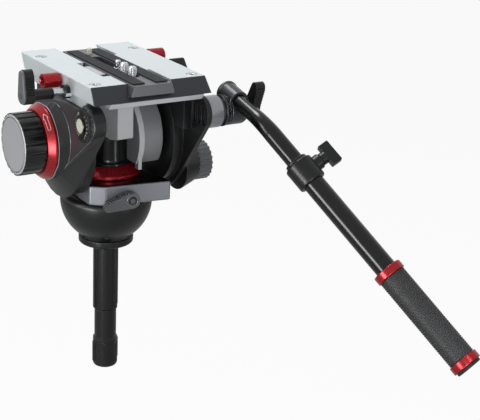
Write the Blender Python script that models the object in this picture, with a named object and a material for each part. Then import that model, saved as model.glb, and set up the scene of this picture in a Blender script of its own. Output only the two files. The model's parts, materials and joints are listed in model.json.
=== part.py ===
"""Fluid video head on a 100 mm half ball, with a sliding camera plate and a telescopic pan bar.

Metres, +Z up. The origin is the centre of the half ball. The operator stands on the -Y side,
the pan bar is on the +X side, and the tilt axis runs along X.
"""
import bpy
import bmesh
from math import acos, asin, atan2, cos, hypot, pi, radians, sin, sqrt
from mathutils import Matrix, Vector

# Fits shared by all pieces
seat_gap = 0.0003
running_gap = 0.0006
overrun = 0.0020
weld = 0.00001
edge_ease = 0.0010
fine_ease = 0.0005

# Smoothness of round pieces, in facets per turn
fine_steps = 32
plain_steps = 20
small_steps = 12
hexagon_sides = 6
ball_steps = 5
rib_shape_shares = ((0.15, 0), (0.3, 1), (0.7, 1), (0.85, 0))

# Half ball and the clamp below it
ball_radius = 0.050
ball_rim_height = 0.0025
ball_wall = 0.006
ball_shoulder_height = 0.0075
ball_shoulder_inset = 0.0030
ball_opening_radius = 0.034
ball_floor_thickness = 0.007
ball_boss_radius = 0.0120
ball_boss_depth = 0.0300
stud_radius = 0.006
stud_top_depth = 0.0040
stud_nut_radius = 0.011
stud_nut_height = 0.006
washer_radius = 0.030
washer_rim_height = 0.004
washer_thickness = 0.004
washer_rim_width = 0.0040
washer_lift = 0.0025
washer_drop = ball_radius - washer_lift
clamp_sleeve_drop = 0.0085
clamp_sleeve_top = washer_drop + clamp_sleeve_drop
stud_reach = 0.0900
stud_tip_depth = clamp_sleeve_top + stud_reach
clamp_sleeve_length = 0.0750
clamp_sleeve_radius = 0.0125
clamp_sleeve_rib_radius = 0.0148
clamp_sleeve_ribs = 6
clamp_rib_share = 0.3
clamp_valley_steps = 3
clamp_waist_length = 0.0365
clamp_waist_radius = 0.0122
clamp_grip_length = 0.0340
clamp_grip_radius = 0.0138
clamp_grip_rib_radius = 0.0155
clamp_grip_ribs = 6
clamp_grip_rib_margin = 0.0060
clamp_end_round = 0.0030

# Pan housing, which turns on the ball
tilt_height = 0.0720
base_top = 0.0290
base_bottom = ball_shoulder_height + seat_gap
base_yaw = radians(-8)
base_front = 0.0530
base_right_shares = ((1, -1), (1, -0.868), (0.815, -0.377), (0.815, 0.377), (0.556, 0.830))
base_left_shares = ((-0.658, 0.868), (-1, 0.377), (-1, -0.377), (-0.895, -0.840), (-0.474, -1))
base_corner_bevel = 0.0020
spindle_radius = 0.0100
spindle_flange_radius = 0.0200
spindle_flange_height = 0.0040
flange_top = base_bottom + spindle_flange_height
spindle_drop = 0.0180
spindle_top = tilt_height - spindle_drop
bearing_wall = 0.0045
bearing_height = 0.0080
bearing_seat = spindle_top - bearing_height - edge_ease

# Platform's width, and the arms under it
platform_width = 0.1300
half_width = platform_width / 2
arm_inset = 0.0145
arm_inner = half_width - arm_inset
left_hub_reach = 0.0085
left_hub_inner = arm_inner - left_hub_reach
right_hub_reach = 0.0015
right_hub_inner = arm_inner - right_hub_reach
base_clearance = 0.0040
base_left = left_hub_inner - base_clearance
base_right = right_hub_inner + base_clearance + edge_ease

# Pan drag ring and pan lock lever
neck_radius = 0.0235
pan_ring_clearance = 0.0050
pan_ring_radius = left_hub_inner - pan_ring_clearance
pan_ring_crown_share = 0.186
pan_ring_rim_height = 0.0035
pan_ring_height = 0.0115
pan_ring_rise = 0.0006
pan_ring_top = base_top + pan_ring_rise + pan_ring_height
pan_lever_hub_across = 0.0078
pan_lever_hub_height = 0.0145
pan_lever_hub_radius = 0.0085
pan_lever_thickness = 0.0075
pan_lever_standoff = 0.0030
pan_lever_length = 0.0272
pan_lever_tip_radius = 0.0042
pan_lever_angle = radians(193)
pan_lever_ribs = 9
pan_lever_rib_depth = 0.0010
pan_lever_shaft_radius = 0.0040
pan_lever_shaft_length = 0.0160
pan_screw_radius = 0.0050
pan_screw_height = 0.0030
pan_screw_hex_radius = 0.0022

# Tilt axis, pedestal and the fixed core between the arms
neck_foot_radius = 0.0262
neck_foot_height = 0.0070
core_block_left = 0.0140
core_block_right = 0.0114
core_block_front = 0.0400
core_block_back = 0.0340
core_radius = 0.0560
core_bottom = tilt_height + edge_ease * 3
core_arc_steps = 6
core_slot_right = 0.0155
core_flange_radius = 0.0460
core_web_front = 0.0280
core_web_back = 0.0220
core_slot_depth = 0.0120
core_drum_left = 0.0215
core_drum_clearance = 0.0040
core_drum_right = right_hub_inner - core_drum_clearance
core_drum_radius = 0.0440
core_underside_rise = 0.0044
core_underside = pan_ring_top + core_underside_rise
core_fin_front = 0.0420
core_fin_depth = 0.0080
core_fin_drop = 0.0011
core_fin_bottom = pan_ring_top - core_fin_drop
core_hollow_share = 0.19
core_hollow_left = core_drum_left + (core_drum_right - core_drum_left) * core_hollow_share
core_hollow_radius = 0.0225
core_fin_thickness = 0.0040
cartridge_clearance = 0.0019
cartridge_radius = tilt_height - pan_ring_top - cartridge_clearance
cartridge_left = left_hub_inner - edge_ease
cartridge_right = neck_foot_radius + seat_gap
cartridge_step = 0.0030
axle_radius = 0.0080
axle_end_depth = 0.0020
tilt_bearing_radius = 0.0140
tilt_bearing_width = 0.0070
drum_cover_thickness = 0.0040
spring_radius = 0.0180
spring_turns = 3
spring_turn_steps = 14
spring_wire_sides = 6
spring_room = core_drum_right - drum_cover_thickness - core_hollow_left
spring_wire_share = 0.11
spring_wire_radius = spring_room * spring_wire_share
spring_length = spring_room - 2 * spring_wire_radius - 3 * seat_gap

# Arms, one on each side of the core
hub_clearance = 0.0045
hub_radius = tilt_height - ball_shoulder_height - hub_clearance
left_arm_step = 0.0040
left_arm_inner = arm_inner + left_arm_step
arm_rim_width = 0.0040
arm_rim_ease = 0.0010
arm_depth = 0.0135
arm_face = left_arm_inner + arm_depth
arm_hub_step = 0.0020
arm_radius = hub_radius + arm_hub_step
arm_face_inset = 0.0195
arm_face_radius = arm_radius - arm_face_inset
arm_face_back = 0.0020
arm_face_rise = 0.0035
nose_reach = 0.0900
dial_rise = 0.0400
rosette_rise = 0.0380
nose_radius = 0.0185
nose_face_radius = 0.0170
right_plate_step = 0.0095
right_plate_inner = arm_inner + right_plate_step
right_plate_thickness = 0.0060
right_plate_outer = right_plate_inner + right_plate_thickness
right_plate_margin = 0.0040
right_plate_radius = arm_radius + right_plate_margin
axle_left = arm_face - axle_end_depth
axle_right = right_plate_inner + right_plate_thickness / 2
shoulder_front = 0.0760
shoulder_back = 0.0480
shoulder_thickness = 0.0085
shoulder_rise = 0.0180
shoulder_foot = tilt_height + shoulder_rise
shoulder_margin = 0.0040
arm_trim_back = arm_radius + arm_hub_step
arm_pocket_depth = 0.0030
arm_pocket_near = 0.0785
arm_pocket_width = 0.0068
arm_pocket_pitch = 0.0088
arm_pocket_rise = 0.0275
arm_pocket_height = 0.0195
arm_pockets = 3

# Bridge platform over both arms
platform_near = 0.0920
platform_far = 0.0760
platform_rise = 0.0780
platform_top = tilt_height + platform_rise
platform_thickness = 0.0160
platform_rake = 0.0125
platform_draft = 0.0015
skirt_height = 0.0100
skirt_width = 0.0125
skirt_front = 0.0800
skirt_back = 0.0520
shoulder_top = platform_top - platform_thickness - skirt_height - seat_gap
platform_ease_segments = 2
chin_drop = 0.0060
chin_depth = 0.0140
chin_slope = 0.0050
chin_left_inset = 0.0170
chin_right_inset = 0.0070
corner_screw_radius = 0.0055
corner_screw_depth = 0.0030
corner_screw_head_height = 0.0026
corner_screw_clearance = 0.0005
corner_screw_shank = 0.0030
corner_screw_length = 0.0120
corner_screw_inset = 0.0100
corner_screw_near = 0.0820
corner_screw_far = 0.0450
corner_screw_hex_radius = 0.0026
corner_screw_hex_depth = 0.0016
underside_pocket_width = 0.0110
underside_pocket_outer = arm_inner - underside_pocket_width / 2 + edge_ease
underside_pocket_near = 0.0700
underside_pocket_far = 0.0300
underside_pocket_depth = 0.0040

# Dovetail channel, camera plate and what stands on it
channel_centre = -0.0025
channel_depth = 0.0110
channel_floor_width = 0.0500
channel_top_width = 0.0460
channel_relief = 0.0020
channel_relief_near = 0.0470
channel_relief_far = 0.0250
channel_relief_wall = 0.0060
plate_thickness = 0.0108
plate_near = 0.1060
plate_far = 0.0590
plate_flank_rise = 0.0020
plate_foot_width = 0.0482
plate_top_width = 0.0425
plate_slot_width = 0.0100
plate_slot_near = 0.0720
plate_slot_far = 0.0240
plate_slot_head_width = 0.0160
plate_slot_head_depth = 0.0055
pad_width = 0.0130
pad_thickness = 0.0010
pad_inset = 0.0020
pad_margin = 0.0060
camera_screw_radius = 0.0045
camera_screw_head_radius = 0.0075
camera_screw_head_height = 0.0035
camera_screw_rise = 0.0085
coin_slot_width = 0.0016
coin_slot_depth = 0.0012
camera_screw_near = 0.0430
camera_screw_pitch = 0.0180
guide_pin_radius = 0.0030
guide_pin_rise = 0.0080
guide_pin_near = 0.0290
guide_pin_foot_radius = 0.0060
video_pin_radius = 0.0028
video_pin_rise = 0.0065
video_pin_far = 0.0370
pin_seat_depth = 0.0090
pin_travel = 0.0050
jaw_length = 0.0360
jaw_far = -0.0095
jaw_thickness = 0.0045
jaw_height = 0.0100
jaw_pocket_far = 0.0040
jaw_pocket_near = 0.0570
jaw_pocket_width = 0.0060

# Plate lock lever on the left, plate release lever on the right
lock_shaft_near = 0.0440
lock_shaft_drop = 0.0150
lock_shaft_height = platform_top - lock_shaft_drop
lock_shaft_radius = 0.0040
lock_shaft_depth = 0.0150
lock_sleeve_radius = 0.0058
lock_collar_radius = 0.0072
lock_collar_length = 0.0050
lock_shaft_bare_length = 0.0120
lever_reach = 0.0520
lever_face = half_width + lever_reach
lever_thickness = 0.0095
lever_hub_radius = 0.0088
lever_tip_radius = 0.0062
lever_length = 0.0205
lever_cap_thickness = 0.0022
lever_cap_margin = 0.0008
lever_rib_depth = 0.0008
lever_ribs = 11
release_drop = 0.0200
release_height = platform_top - release_drop
release_near = 0.0080
release_shaft_radius = 0.0035
release_shaft_depth = 0.0130
release_stem_length = 0.0080
release_hub_radius = 0.0070
release_tip_radius = 0.0040
release_length = 0.0140
release_width = 0.0170
release_angle = radians(60)

# Threaded accessory sockets in the platform's sides
socket_radius = 0.0076
socket_bore = 0.0046
socket_length = 0.0185
socket_bore_depth = 0.0150
socket_drop = 0.0075
socket_height = platform_top - socket_drop
socket_shank_radius = 0.0040
socket_shank_depth = 0.0050
socket_steps = 16
left_socket_place = -0.0240
right_socket_place = 0.0340

# Tilt drag knob, its index ring and its housing
drag_cone_length = 0.0062
drag_cone_top_radius = 0.0408
drag_cone_foot_radius = 0.0402
drag_cone_tail_radius = 0.0357
drag_cone_tail_reach = 0.0199
drag_cone_tail_rise = 0.0098
index_ring_length = 0.0085
index_ring_radius = 0.0400
index_ring_rim = 0.0020
index_ring_front_radius = 0.0345
drag_knob_length = 0.0230
drag_knob_radius = 0.0328
drag_knob_rib_depth = 0.0010
drag_knob_ribs = 20
drag_knob_rib_share = 0.6
drag_knob_shaft_radius = 0.0070
drag_cap_radius = 0.0312
drag_cap_thickness = 0.0012
drag_cap_rim = 0.0030
drag_cap_groove = 0.0006

# Counterbalance dial on the left nose
dial_boss_length = 0.0016
dial_boss_radius = 0.0164
dial_radius = 0.0172
dial_length = 0.0034
dial_teeth = 24
dial_tooth_depth = 0.0008
dial_tooth_share = 0.5
dial_stem_radius = 0.0050
dial_stem_depth = 0.0080
button_radius = 0.0080
button_stand = 0.0022
button_seat_depth = 0.0030
button_travel = 0.0012

# Tilt lock knob on the right arm
tilt_lock_reach = 0.0310
tilt_lock_drop = 0.0340
tilt_lock_shaft_radius = 0.0050
tilt_cone_length = 0.0200
tilt_cone_foot_radius = 0.0290
tilt_cone_top_radius = 0.0215
tilt_knob_length = 0.0162
tilt_knob_radius = 0.0215
tilt_knob_rib_depth = 0.0011
tilt_knob_ribs = 22
tilt_knob_rib_share = 0.4

# Rosette and pan bar
rosette_boss_length = 0.0190
rosette_boss_radius = 0.0168
rosette_step_radius = 0.0135
rosette_step_length = 0.0040
rosette_teeth = 24
rosette_tooth_height = 0.0012
rosette_disc_thickness = 0.0030
rosette_bore = 0.0045
rosette_bolt_radius = 0.0025
clamp_disc_radius = 0.0162
rosette_start = right_plate_outer + rosette_boss_length + seat_gap
bar_disc_start = rosette_start + rosette_disc_thickness + seat_gap
clamp_body_length = 0.0254
clamp_body_end = bar_disc_start + clamp_body_length
clamp_body_crown = 0.0065
clamp_crown_shares = ((0, 0.92), (0.31, 0.38), (1, 0))
clamp_end_wall = 0.0020
bar_bend_across = 0.0124
bar_bend_reach = 0.0586
bar_bend_drop = 0.0001
bar_bend = (bar_disc_start + bar_bend_across, -nose_reach - bar_bend_reach,
            tilt_height + rosette_rise - bar_bend_drop)
bar_axis_shares = (0.3000, -0.7340, -0.6090)
bar_thumb_lean_share = 0.6
bar_clamp_end = 0.0745
bar_upper_slope = radians(12.5)
bar_bend_run = 0.0160
bar_bend_steps = 4
bar_sides = 16
bar_bore_sides = 12
bar_inner_length = 0.1970
bar_sleeve_length = 0.0265
bar_sleeve_radius = 0.0112
bar_lip_radius = 0.0120
bar_lip_length = 0.0035
bar_tube_radius = 0.0091
bar_neck_radius = 0.0080
bar_tube_wall = 0.0016
bar_outer_radius = 0.0110
bar_collar_start = 0.0520
bar_collar_length = 0.0290
bar_collar_radius = 0.0150
bar_collar_seat = 0.0090
bar_grip_start = 0.1942
bar_grip_end = 0.3155
bar_grip_radius = 0.0140
bar_ring_radius = 0.0155
bar_ring_length = 0.0085
bar_end_cap_depth = 0.0090
bar_cap_radius = 0.0135
bar_cap_length = 0.0026
bar_cap_ease = 0.0012
thumb_boss_radius = 0.0080
thumb_boss_length = 0.0060
thumb_stem_radius = 0.0052
thumb_stem_length = 0.0120
thumb_wing_length = 0.0250
thumb_wing_height = 0.0120
thumb_wing_thickness = 0.0085
thumb_wing_round = 0.0015
wing_hub_radius = 0.0080
wing_start = clamp_body_end + 2 * seat_gap
wing_bolt_reach = 0.0100
wing_hub_stand = 0.0010
wing_hub_length = 0.0155
wing_blade_thickness = 0.0105
wing_blade_length = 0.0260
wing_tip_radius = 0.0055
wing_angle = radians(65)
wing_ribs = 9
wing_rib_depth = 0.0008

# Finishes: name, linear colour, roughness, metallic share
finish_table = [
    ("grey paint", (0.45, 0.47, 0.50), 0.45, 0.0),
    ("silver paint", (0.38, 0.40, 0.42), 0.40, 0.3),
    ("grey metal", (0.28, 0.29, 0.30), 0.40, 0.3),
    ("black paint", (0.040, 0.043, 0.048), 0.45, 0.0),
    ("black plastic", (0.020, 0.021, 0.023), 0.45, 0.0),
    ("black gloss", (0.015, 0.016, 0.018), 0.15, 0.0),
    ("black anodised", (0.085, 0.090, 0.095), 0.45, 0.3),
    ("black steel", (0.030, 0.030, 0.032), 0.35, 0.8),
    ("rubber", (0.060, 0.060, 0.062), 0.80, 0.0),
    ("red anodised", (0.35, 0.01, 0.02), 0.35, 0.2),
    ("aluminium", (0.60, 0.62, 0.64), 0.30, 1.0),
    ("steel", (0.55, 0.55, 0.56), 0.25, 1.0),
    ("brass", (0.55, 0.42, 0.16), 0.35, 1.0),
    ("ivory plastic", (0.70, 0.68, 0.58), 0.45, 0.0),
]


def clear_scene():
    for item in list(bpy.data.objects):
        bpy.data.objects.remove(item, do_unlink=True)


def material(name, colour, roughness, metallic=0.0):
    """A Principled material with a linear RGB colour."""
    made = bpy.data.materials.new(name)
    made.use_nodes = True
    shader = made.node_tree.nodes["Principled BSDF"]
    shader.inputs["Base Color"].default_value = (*colour, 1.0)
    shader.inputs["Roughness"].default_value = roughness
    shader.inputs["Metallic"].default_value = metallic
    return made


def world_place(empty):
    place = Vector((0, 0, 0))
    while empty is not None:
        place = place + empty.location
        empty = empty.parent
    return place


def pivot(name, place, parent=None):
    """An empty on a joint's axis: the pieces of one moving group hang from it."""
    empty = bpy.data.objects.new(name, None)
    bpy.context.scene.collection.objects.link(empty)
    empty.parent = parent
    empty.location = Vector(place) - world_place(parent)
    return empty


def add_piece(name, made, finish, group, sharp=radians(35)):
    """Turns a bmesh in world coordinates into a named object under its group's empty."""
    bmesh.ops.translate(made, vec=-world_place(group), verts=made.verts)
    bmesh.ops.recalc_face_normals(made, faces=made.faces)
    mesh = bpy.data.meshes.new(name)
    made.to_mesh(mesh)
    made.free()
    mesh.shade_smooth()
    mesh.set_sharp_from_angle(angle=sharp)
    mesh.materials.append(finish)
    piece = bpy.data.objects.new(name, mesh)
    bpy.context.scene.collection.objects.link(piece)
    piece.parent = group
    return piece


def combine(piece, made, operation):
    """Cuts a solid from a piece or joins one to it: the helper is drawn as wire only."""
    order = len(piece.modifiers) + 1
    bmesh.ops.recalc_face_normals(made, faces=made.faces)
    mesh = bpy.data.meshes.new(f"{operation.lower()}_{order}_{piece.name}")
    made.to_mesh(mesh)
    made.free()
    helper = bpy.data.objects.new(mesh.name, mesh)
    bpy.context.scene.collection.objects.link(helper)
    helper.hide_render = True
    helper.display_type = 'WIRE'
    step = piece.modifiers.new(mesh.name, 'BOOLEAN')
    step.operation = operation
    step.object = helper
    step.solver = 'EXACT'


def cut(piece, made):
    combine(piece, made, 'DIFFERENCE')


def join(piece, made):
    combine(piece, made, 'UNION')


def ease_edges(piece, width, segments=1, angle=radians(30)):
    step = piece.modifiers.new("eased_edges", 'BEVEL')
    step.width = width
    step.segments = segments
    step.limit_method = 'ANGLE'
    step.angle_limit = angle


def along(axis, origin=(0, 0, 0), lean=(0, 0, 1)):
    """A frame at origin whose Z runs along axis and whose X leans towards lean."""
    z = Vector(axis).normalized()
    x = (Vector(lean) - z * z.dot(Vector(lean))).normalized()
    frame = Matrix((x, z.cross(x), z)).transposed().to_4x4()
    frame.translation = Vector(origin)
    return frame


def turned(profile, frame=None, steps=plain_steps):
    """Turns a closed outline of (radius, height) about the frame's Z."""
    made = bmesh.new()
    ring = [made.verts.new((radius, 0, height)) for radius, height in profile]
    for first, second in zip(ring, ring[1:] + ring[:1]):
        if max(first.co.x, second.co.x) > 0:
            made.edges.new((first, second))
    bmesh.ops.spin(made, geom=made.verts[:] + made.edges[:], cent=(0, 0, 0), axis=(0, 0, 1),
                   dvec=(0, 0, 0), angle=2 * pi, steps=steps, use_merge=True)
    bmesh.ops.remove_doubles(made, verts=made.verts, dist=weld)
    if frame is not None:
        bmesh.ops.transform(made, matrix=frame, verts=made.verts)
    return made


def rod(radius, start, end, frame=None, steps=plain_steps, ease=0.0):
    """A round bar from start to end along the frame's Z, with an eased far end."""
    profile = [(0, start), (radius, start), (radius, end - ease)]
    if ease > 0:
        profile.append((radius - ease, end))
    return turned(profile + [(0, end)], frame, steps)


def tube(outer, inner, start, end, frame=None, steps=plain_steps):
    """A round tube from start to end along the frame's Z."""
    return turned([(inner, start), (outer, start), (outer, end), (inner, end)], frame, steps)


def loft(rings, frame=None):
    """Extrudes the first outline through the others, which have as many points."""
    made = bmesh.new()
    faces = [made.faces.new([made.verts.new(point) for point in rings[0]])]
    for ring in rings[1:]:
        grown = bmesh.ops.extrude_face_region(made, geom=[faces[-1]])["geom"]
        faces.append(next(item for item in grown if isinstance(item, bmesh.types.BMFace)))
        for corner, point in zip(faces[-1].verts, ring):
            corner.co = point
    bmesh.ops.delete(made, geom=faces[1:-1], context='FACES_ONLY')
    if frame is not None:
        bmesh.ops.transform(made, matrix=frame, verts=made.verts)
    return made


def prism(outline, start, end, frame=None):
    """Extrudes an outline of (x, y) from start to end along the frame's Z."""
    return loft([[(x, y, level) for x, y in outline] for level in (start, end)], frame)


def slab(outline, left, right):
    """Extrudes a side view outline of (y, z) from left to right."""
    return loft([[(x, y, z) for y, z in outline] for x in (left, right)])


def box(left, right, near, far, low, high):
    return prism([(left, near), (right, near), (right, far), (left, far)], low, high)


def arc(centre, radius, start, end, steps):
    """Points on an arc, both ends included."""
    turns = [start + (end - start) * step / steps for step in range(steps + 1)]
    return [(centre[0] + radius * cos(turn), centre[1] + radius * sin(turn)) for turn in turns]


def serrated(start, end, ribs, depth):
    """The points of a ribbed edge strictly between two corners, with ribs on its left."""
    run = Vector(end) - Vector(start)
    out = Vector((run.y, -run.x)).normalized() * depth
    points = []
    for rib in range(ribs):
        for share, lift in rib_shape_shares:
            place = Vector(start) + run * (rib + share) / ribs + out * lift
            points.append(tuple(place))
    return points


def teardrop(big, big_radius, small, small_radius, big_steps=18, small_steps=9,
             left_ribs=0, right_ribs=0, depth=0.0):
    """The outline round two circles, which may have ribs on either straight side."""
    lead = atan2(small[1] - big[1], small[0] - big[0])
    reach = hypot(small[0] - big[0], small[1] - big[1])
    tip = acos((big_radius - small_radius) / reach)
    body = arc(big, big_radius, lead + tip, lead - tip + 2 * pi, big_steps)
    nose = arc(small, small_radius, lead - tip, lead + tip, small_steps)
    right = serrated(body[-1], nose[0], right_ribs, depth)
    left = serrated(nose[-1], body[0], left_ribs, depth)
    return body + right + nose + left




def side_frame(x, y, z, outward=1):
    """A frame at a point of a side wall: its Z runs along X, away from the head's middle."""
    return along((outward, 0, 0), (x, y, z))


def tilt_frame(x, outward=1):
    return side_frame(x, 0, tilt_height, outward)


def nose_frame(x, outward=1):
    rise = rosette_rise if outward > 0 else dial_rise
    return side_frame(x, -nose_reach, tilt_height + rise, outward)


def ribbed(radius, crest, ribs, rib_share, valley_steps=1):
    """The outline of a round bar with raised ribs, each over its share of the pitch."""
    points = []
    pitch = 2 * pi / ribs
    for rib in range(ribs):
        start = (rib + rib_share / 2) * pitch
        stop = (rib + 1 - rib_share / 2) * pitch
        points += arc((0, 0), radius, start, stop, valley_steps)
        points += arc((0, 0), crest, stop, stop + rib_share * pitch, 1)
    return points


def scaled(outline, share):
    return [(x * share, y * share) for x, y in outline]


def build_half_ball(finish, group):
    """Hollow half ball, open below, with a threaded boss for the clamp stud."""
    inner = ball_radius - ball_wall
    low = -sqrt(ball_radius ** 2 - ball_opening_radius ** 2)
    floor = ball_shoulder_height - ball_floor_thickness
    bore = stud_radius + seat_gap
    outside = arc((0, 0), ball_radius, asin(ball_rim_height / ball_radius), asin(low / ball_radius),
                  ball_steps)
    inside = arc((0, 0), inner, asin(low / inner), asin(floor / inner), ball_steps)
    boss = [(ball_boss_radius, floor), (ball_boss_radius, -ball_boss_depth),
            (bore, -ball_boss_depth), (bore, -stud_top_depth + seat_gap),
            (0, -stud_top_depth + seat_gap)]
    top = [(0, ball_shoulder_height), (ball_radius - ball_shoulder_inset, ball_shoulder_height)]
    add_piece("half_ball", turned(top + outside + inside + boss, steps=fine_steps),
              finish["black paint"], group)


def build_clamp_stud(finish, group):
    """Threaded stud that draws the half ball into the tripod's bowl."""
    nut_top = -ball_boss_depth - seat_gap
    nut_low = nut_top - stud_nut_height
    profile = [(0, -stud_top_depth), (0, -stud_tip_depth),
               (stud_radius - edge_ease, -stud_tip_depth),
               (stud_radius, -stud_tip_depth + edge_ease), (stud_radius, nut_low),
               (stud_nut_radius, nut_low), (stud_nut_radius, nut_top), (stud_radius, nut_top),
               (stud_radius, -stud_top_depth)]
    add_piece("clamp_stud", turned(profile, steps=small_steps), finish["steel"], group)


def build_clamp_handle(finish, group):
    """The handle below the bowl: pressure washer, ribbed sleeve and rounded grip."""
    bore = stud_radius + running_gap
    low = -washer_drop - washer_thickness
    foot = -clamp_sleeve_top + seat_gap
    lip = washer_radius - washer_rim_width
    washer = [(bore, foot), (clamp_sleeve_radius, foot), (clamp_sleeve_radius, low),
              (washer_radius - washer_rim_width / 2, low), (washer_radius, low + washer_thickness / 2),
              (washer_radius, low + washer_thickness + washer_rim_height),
              (lip, low + washer_thickness + washer_rim_height), (lip, low + washer_thickness),
              (bore, low + washer_thickness)]
    add_piece("clamp_washer", turned(washer), finish["black plastic"], group)

    waist_top = -clamp_sleeve_top - clamp_sleeve_length
    outline = ribbed(clamp_sleeve_radius, clamp_sleeve_rib_radius, clamp_sleeve_ribs,
                     clamp_rib_share, clamp_valley_steps)
    sleeve = add_piece("clamp_sleeve", prism(outline, waist_top + seat_gap, -clamp_sleeve_top),
                       finish["black plastic"], group)
    cut(sleeve, rod(bore, waist_top - overrun, -clamp_sleeve_top + overrun, steps=small_steps))

    grip_top = waist_top - clamp_waist_length
    grip_low = grip_top - clamp_grip_length
    profile = [(0, grip_low), (clamp_grip_radius - clamp_end_round, grip_low),
               (clamp_grip_radius, grip_low + clamp_end_round), (clamp_grip_radius, grip_top),
               (clamp_waist_radius, grip_top + edge_ease), (clamp_waist_radius, waist_top),
               (bore, waist_top), (bore, -stud_tip_depth - seat_gap),
               (0, -stud_tip_depth - seat_gap)]
    grip = add_piece("clamp_grip", turned(profile), finish["black plastic"], group)
    rib_width = 2 * pi * clamp_grip_radius / clamp_grip_ribs * clamp_rib_share
    for rib in range(clamp_grip_ribs):
        bar = box(clamp_grip_radius - fine_ease, clamp_grip_rib_radius, -rib_width / 2, rib_width / 2,
                  grip_low + clamp_grip_rib_margin, grip_top - clamp_grip_rib_margin / 2)
        spin = Matrix.Rotation(2 * pi * rib / clamp_grip_ribs, 4, 'Z')
        bmesh.ops.transform(bar, matrix=spin, verts=bar.verts)
        join(grip, bar)


def build_base(finish, group):
    """Pan housing: a bevelled block on the ball's top plate, and the bearing above it."""
    turn = Matrix.Rotation(base_yaw, 4, 'Z')
    outline = [(x * base_right, y * base_front) for x, y in base_right_shares]
    outline += [(x * base_left, y * base_front) for x, y in base_left_shares]
    block = add_piece("pan_housing", prism(outline, base_bottom, base_top, turn),
                      finish["grey paint"], group)
    ease_edges(block, base_corner_bevel)
    cut(block, rod(spindle_flange_radius + running_gap, base_bottom - overrun,
                   flange_top + running_gap))
    cut(block, rod(spindle_radius + running_gap, base_bottom, base_top + overrun))
    cut(block, rod(pan_lever_shaft_radius + seat_gap, -overrun,
                   pan_lever_shaft_length + seat_gap, pan_lever_frame(inward=True),
                   small_steps))

    low = bearing_seat + seat_gap
    add_piece("pan_bearing", tube(spindle_radius + bearing_wall, spindle_radius + seat_gap, low,
                                  low + bearing_height),
              finish["brass"], group)


def pan_lever_frame(inward=False):
    """At the lever's hub on the housing's front face: X runs across the face, Z points away."""
    turn = Matrix.Rotation(base_yaw, 4, 'Z')
    place = turn @ Vector((pan_lever_hub_across, -base_front, pan_lever_hub_height))
    out = turn @ Vector((0, 1 if inward else -1, 0))
    return along(out, place, turn @ Vector((1, 0, 0)))


def build_pan_lock(finish, group):
    """Pan lock lever on the front of the housing, with ribs for the thumb."""
    frame = pan_lever_frame()
    lead = pan_lever_angle
    tip = (pan_lever_length * cos(lead), pan_lever_length * sin(lead))
    low = pan_lever_standoff
    high = low + pan_lever_thickness
    outline = teardrop((0, 0), pan_lever_hub_radius, tip, pan_lever_tip_radius,
                       right_ribs=pan_lever_ribs, depth=pan_lever_rib_depth)
    lever = add_piece("pan_lock_lever", prism(outline, low, high, frame),
                      finish["black plastic"], group)
    join(lever, rod(pan_lever_shaft_radius, -pan_lever_shaft_length, low + fine_ease, frame,
                    small_steps))
    cut(lever, rod(pan_screw_radius + seat_gap, high - pan_screw_height, high + overrun, frame,
                   small_steps))

    screw = add_piece("pan_lock_screw",
                      rod(pan_screw_radius, high - pan_screw_height + seat_gap, high, frame,
                          small_steps, fine_ease),
                      finish["steel"], group)
    cut(screw, rod(pan_screw_hex_radius, high - pan_screw_height / 2, high + overrun, frame,
                   hexagon_sides))


def build_spindle(finish, group):
    """Pan spindle: its flange is screwed to the ball, its shaft carries the head."""
    profile = [(0, base_bottom), (spindle_flange_radius, base_bottom),
               (spindle_flange_radius, flange_top), (spindle_radius, flange_top),
               (spindle_radius, spindle_top - edge_ease), (spindle_radius - edge_ease, spindle_top),
               (0, spindle_top)]
    add_piece("pan_spindle", turned(profile), finish["steel"], group)


def build_pan_drag(finish, group):
    """Pan drag ring round the neck."""
    low = base_top + pan_ring_rise
    rim = low + pan_ring_rim_height
    bore = neck_radius + running_gap
    crown = bore + (pan_ring_radius - bore) * pan_ring_crown_share
    profile = [(bore, low), (pan_ring_radius - fine_ease, low), (pan_ring_radius, low + fine_ease),
               (pan_ring_radius, rim), (crown, low + pan_ring_height),
               (bore, low + pan_ring_height)]
    add_piece("pan_drag_ring", turned(profile, steps=fine_steps), finish["red anodised"], group)


def build_neck(finish, group):
    """Neck of the pan head, from the housing up to the tilt core."""
    low = base_top + seat_gap
    foot = pan_ring_top + seat_gap
    bore = spindle_radius + running_gap
    seat = spindle_radius + bearing_wall + seat_gap
    roof = spindle_top + running_gap
    profile = [(bore, low), (neck_radius, low), (neck_radius, foot), (neck_foot_radius, foot),
               (neck_foot_radius - edge_ease, foot + edge_ease),
               (neck_radius, foot + neck_foot_height), (neck_radius, core_bottom - seat_gap),
               (0, core_bottom - seat_gap), (0, roof), (seat, roof), (seat, bearing_seat),
               (bore, bearing_seat)]
    neck = add_piece("neck", turned(profile, steps=fine_steps), finish["black paint"], group)
    side = core_slot_right - seat_gap
    cut(neck, box(side, neck_foot_radius + overrun, -neck_foot_radius, neck_foot_radius,
                  core_underside - seat_gap, core_bottom + overrun))
    cut(neck, rod(axle_radius + running_gap, -neck_foot_radius, neck_foot_radius, tilt_frame(0),
                  small_steps))


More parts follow.
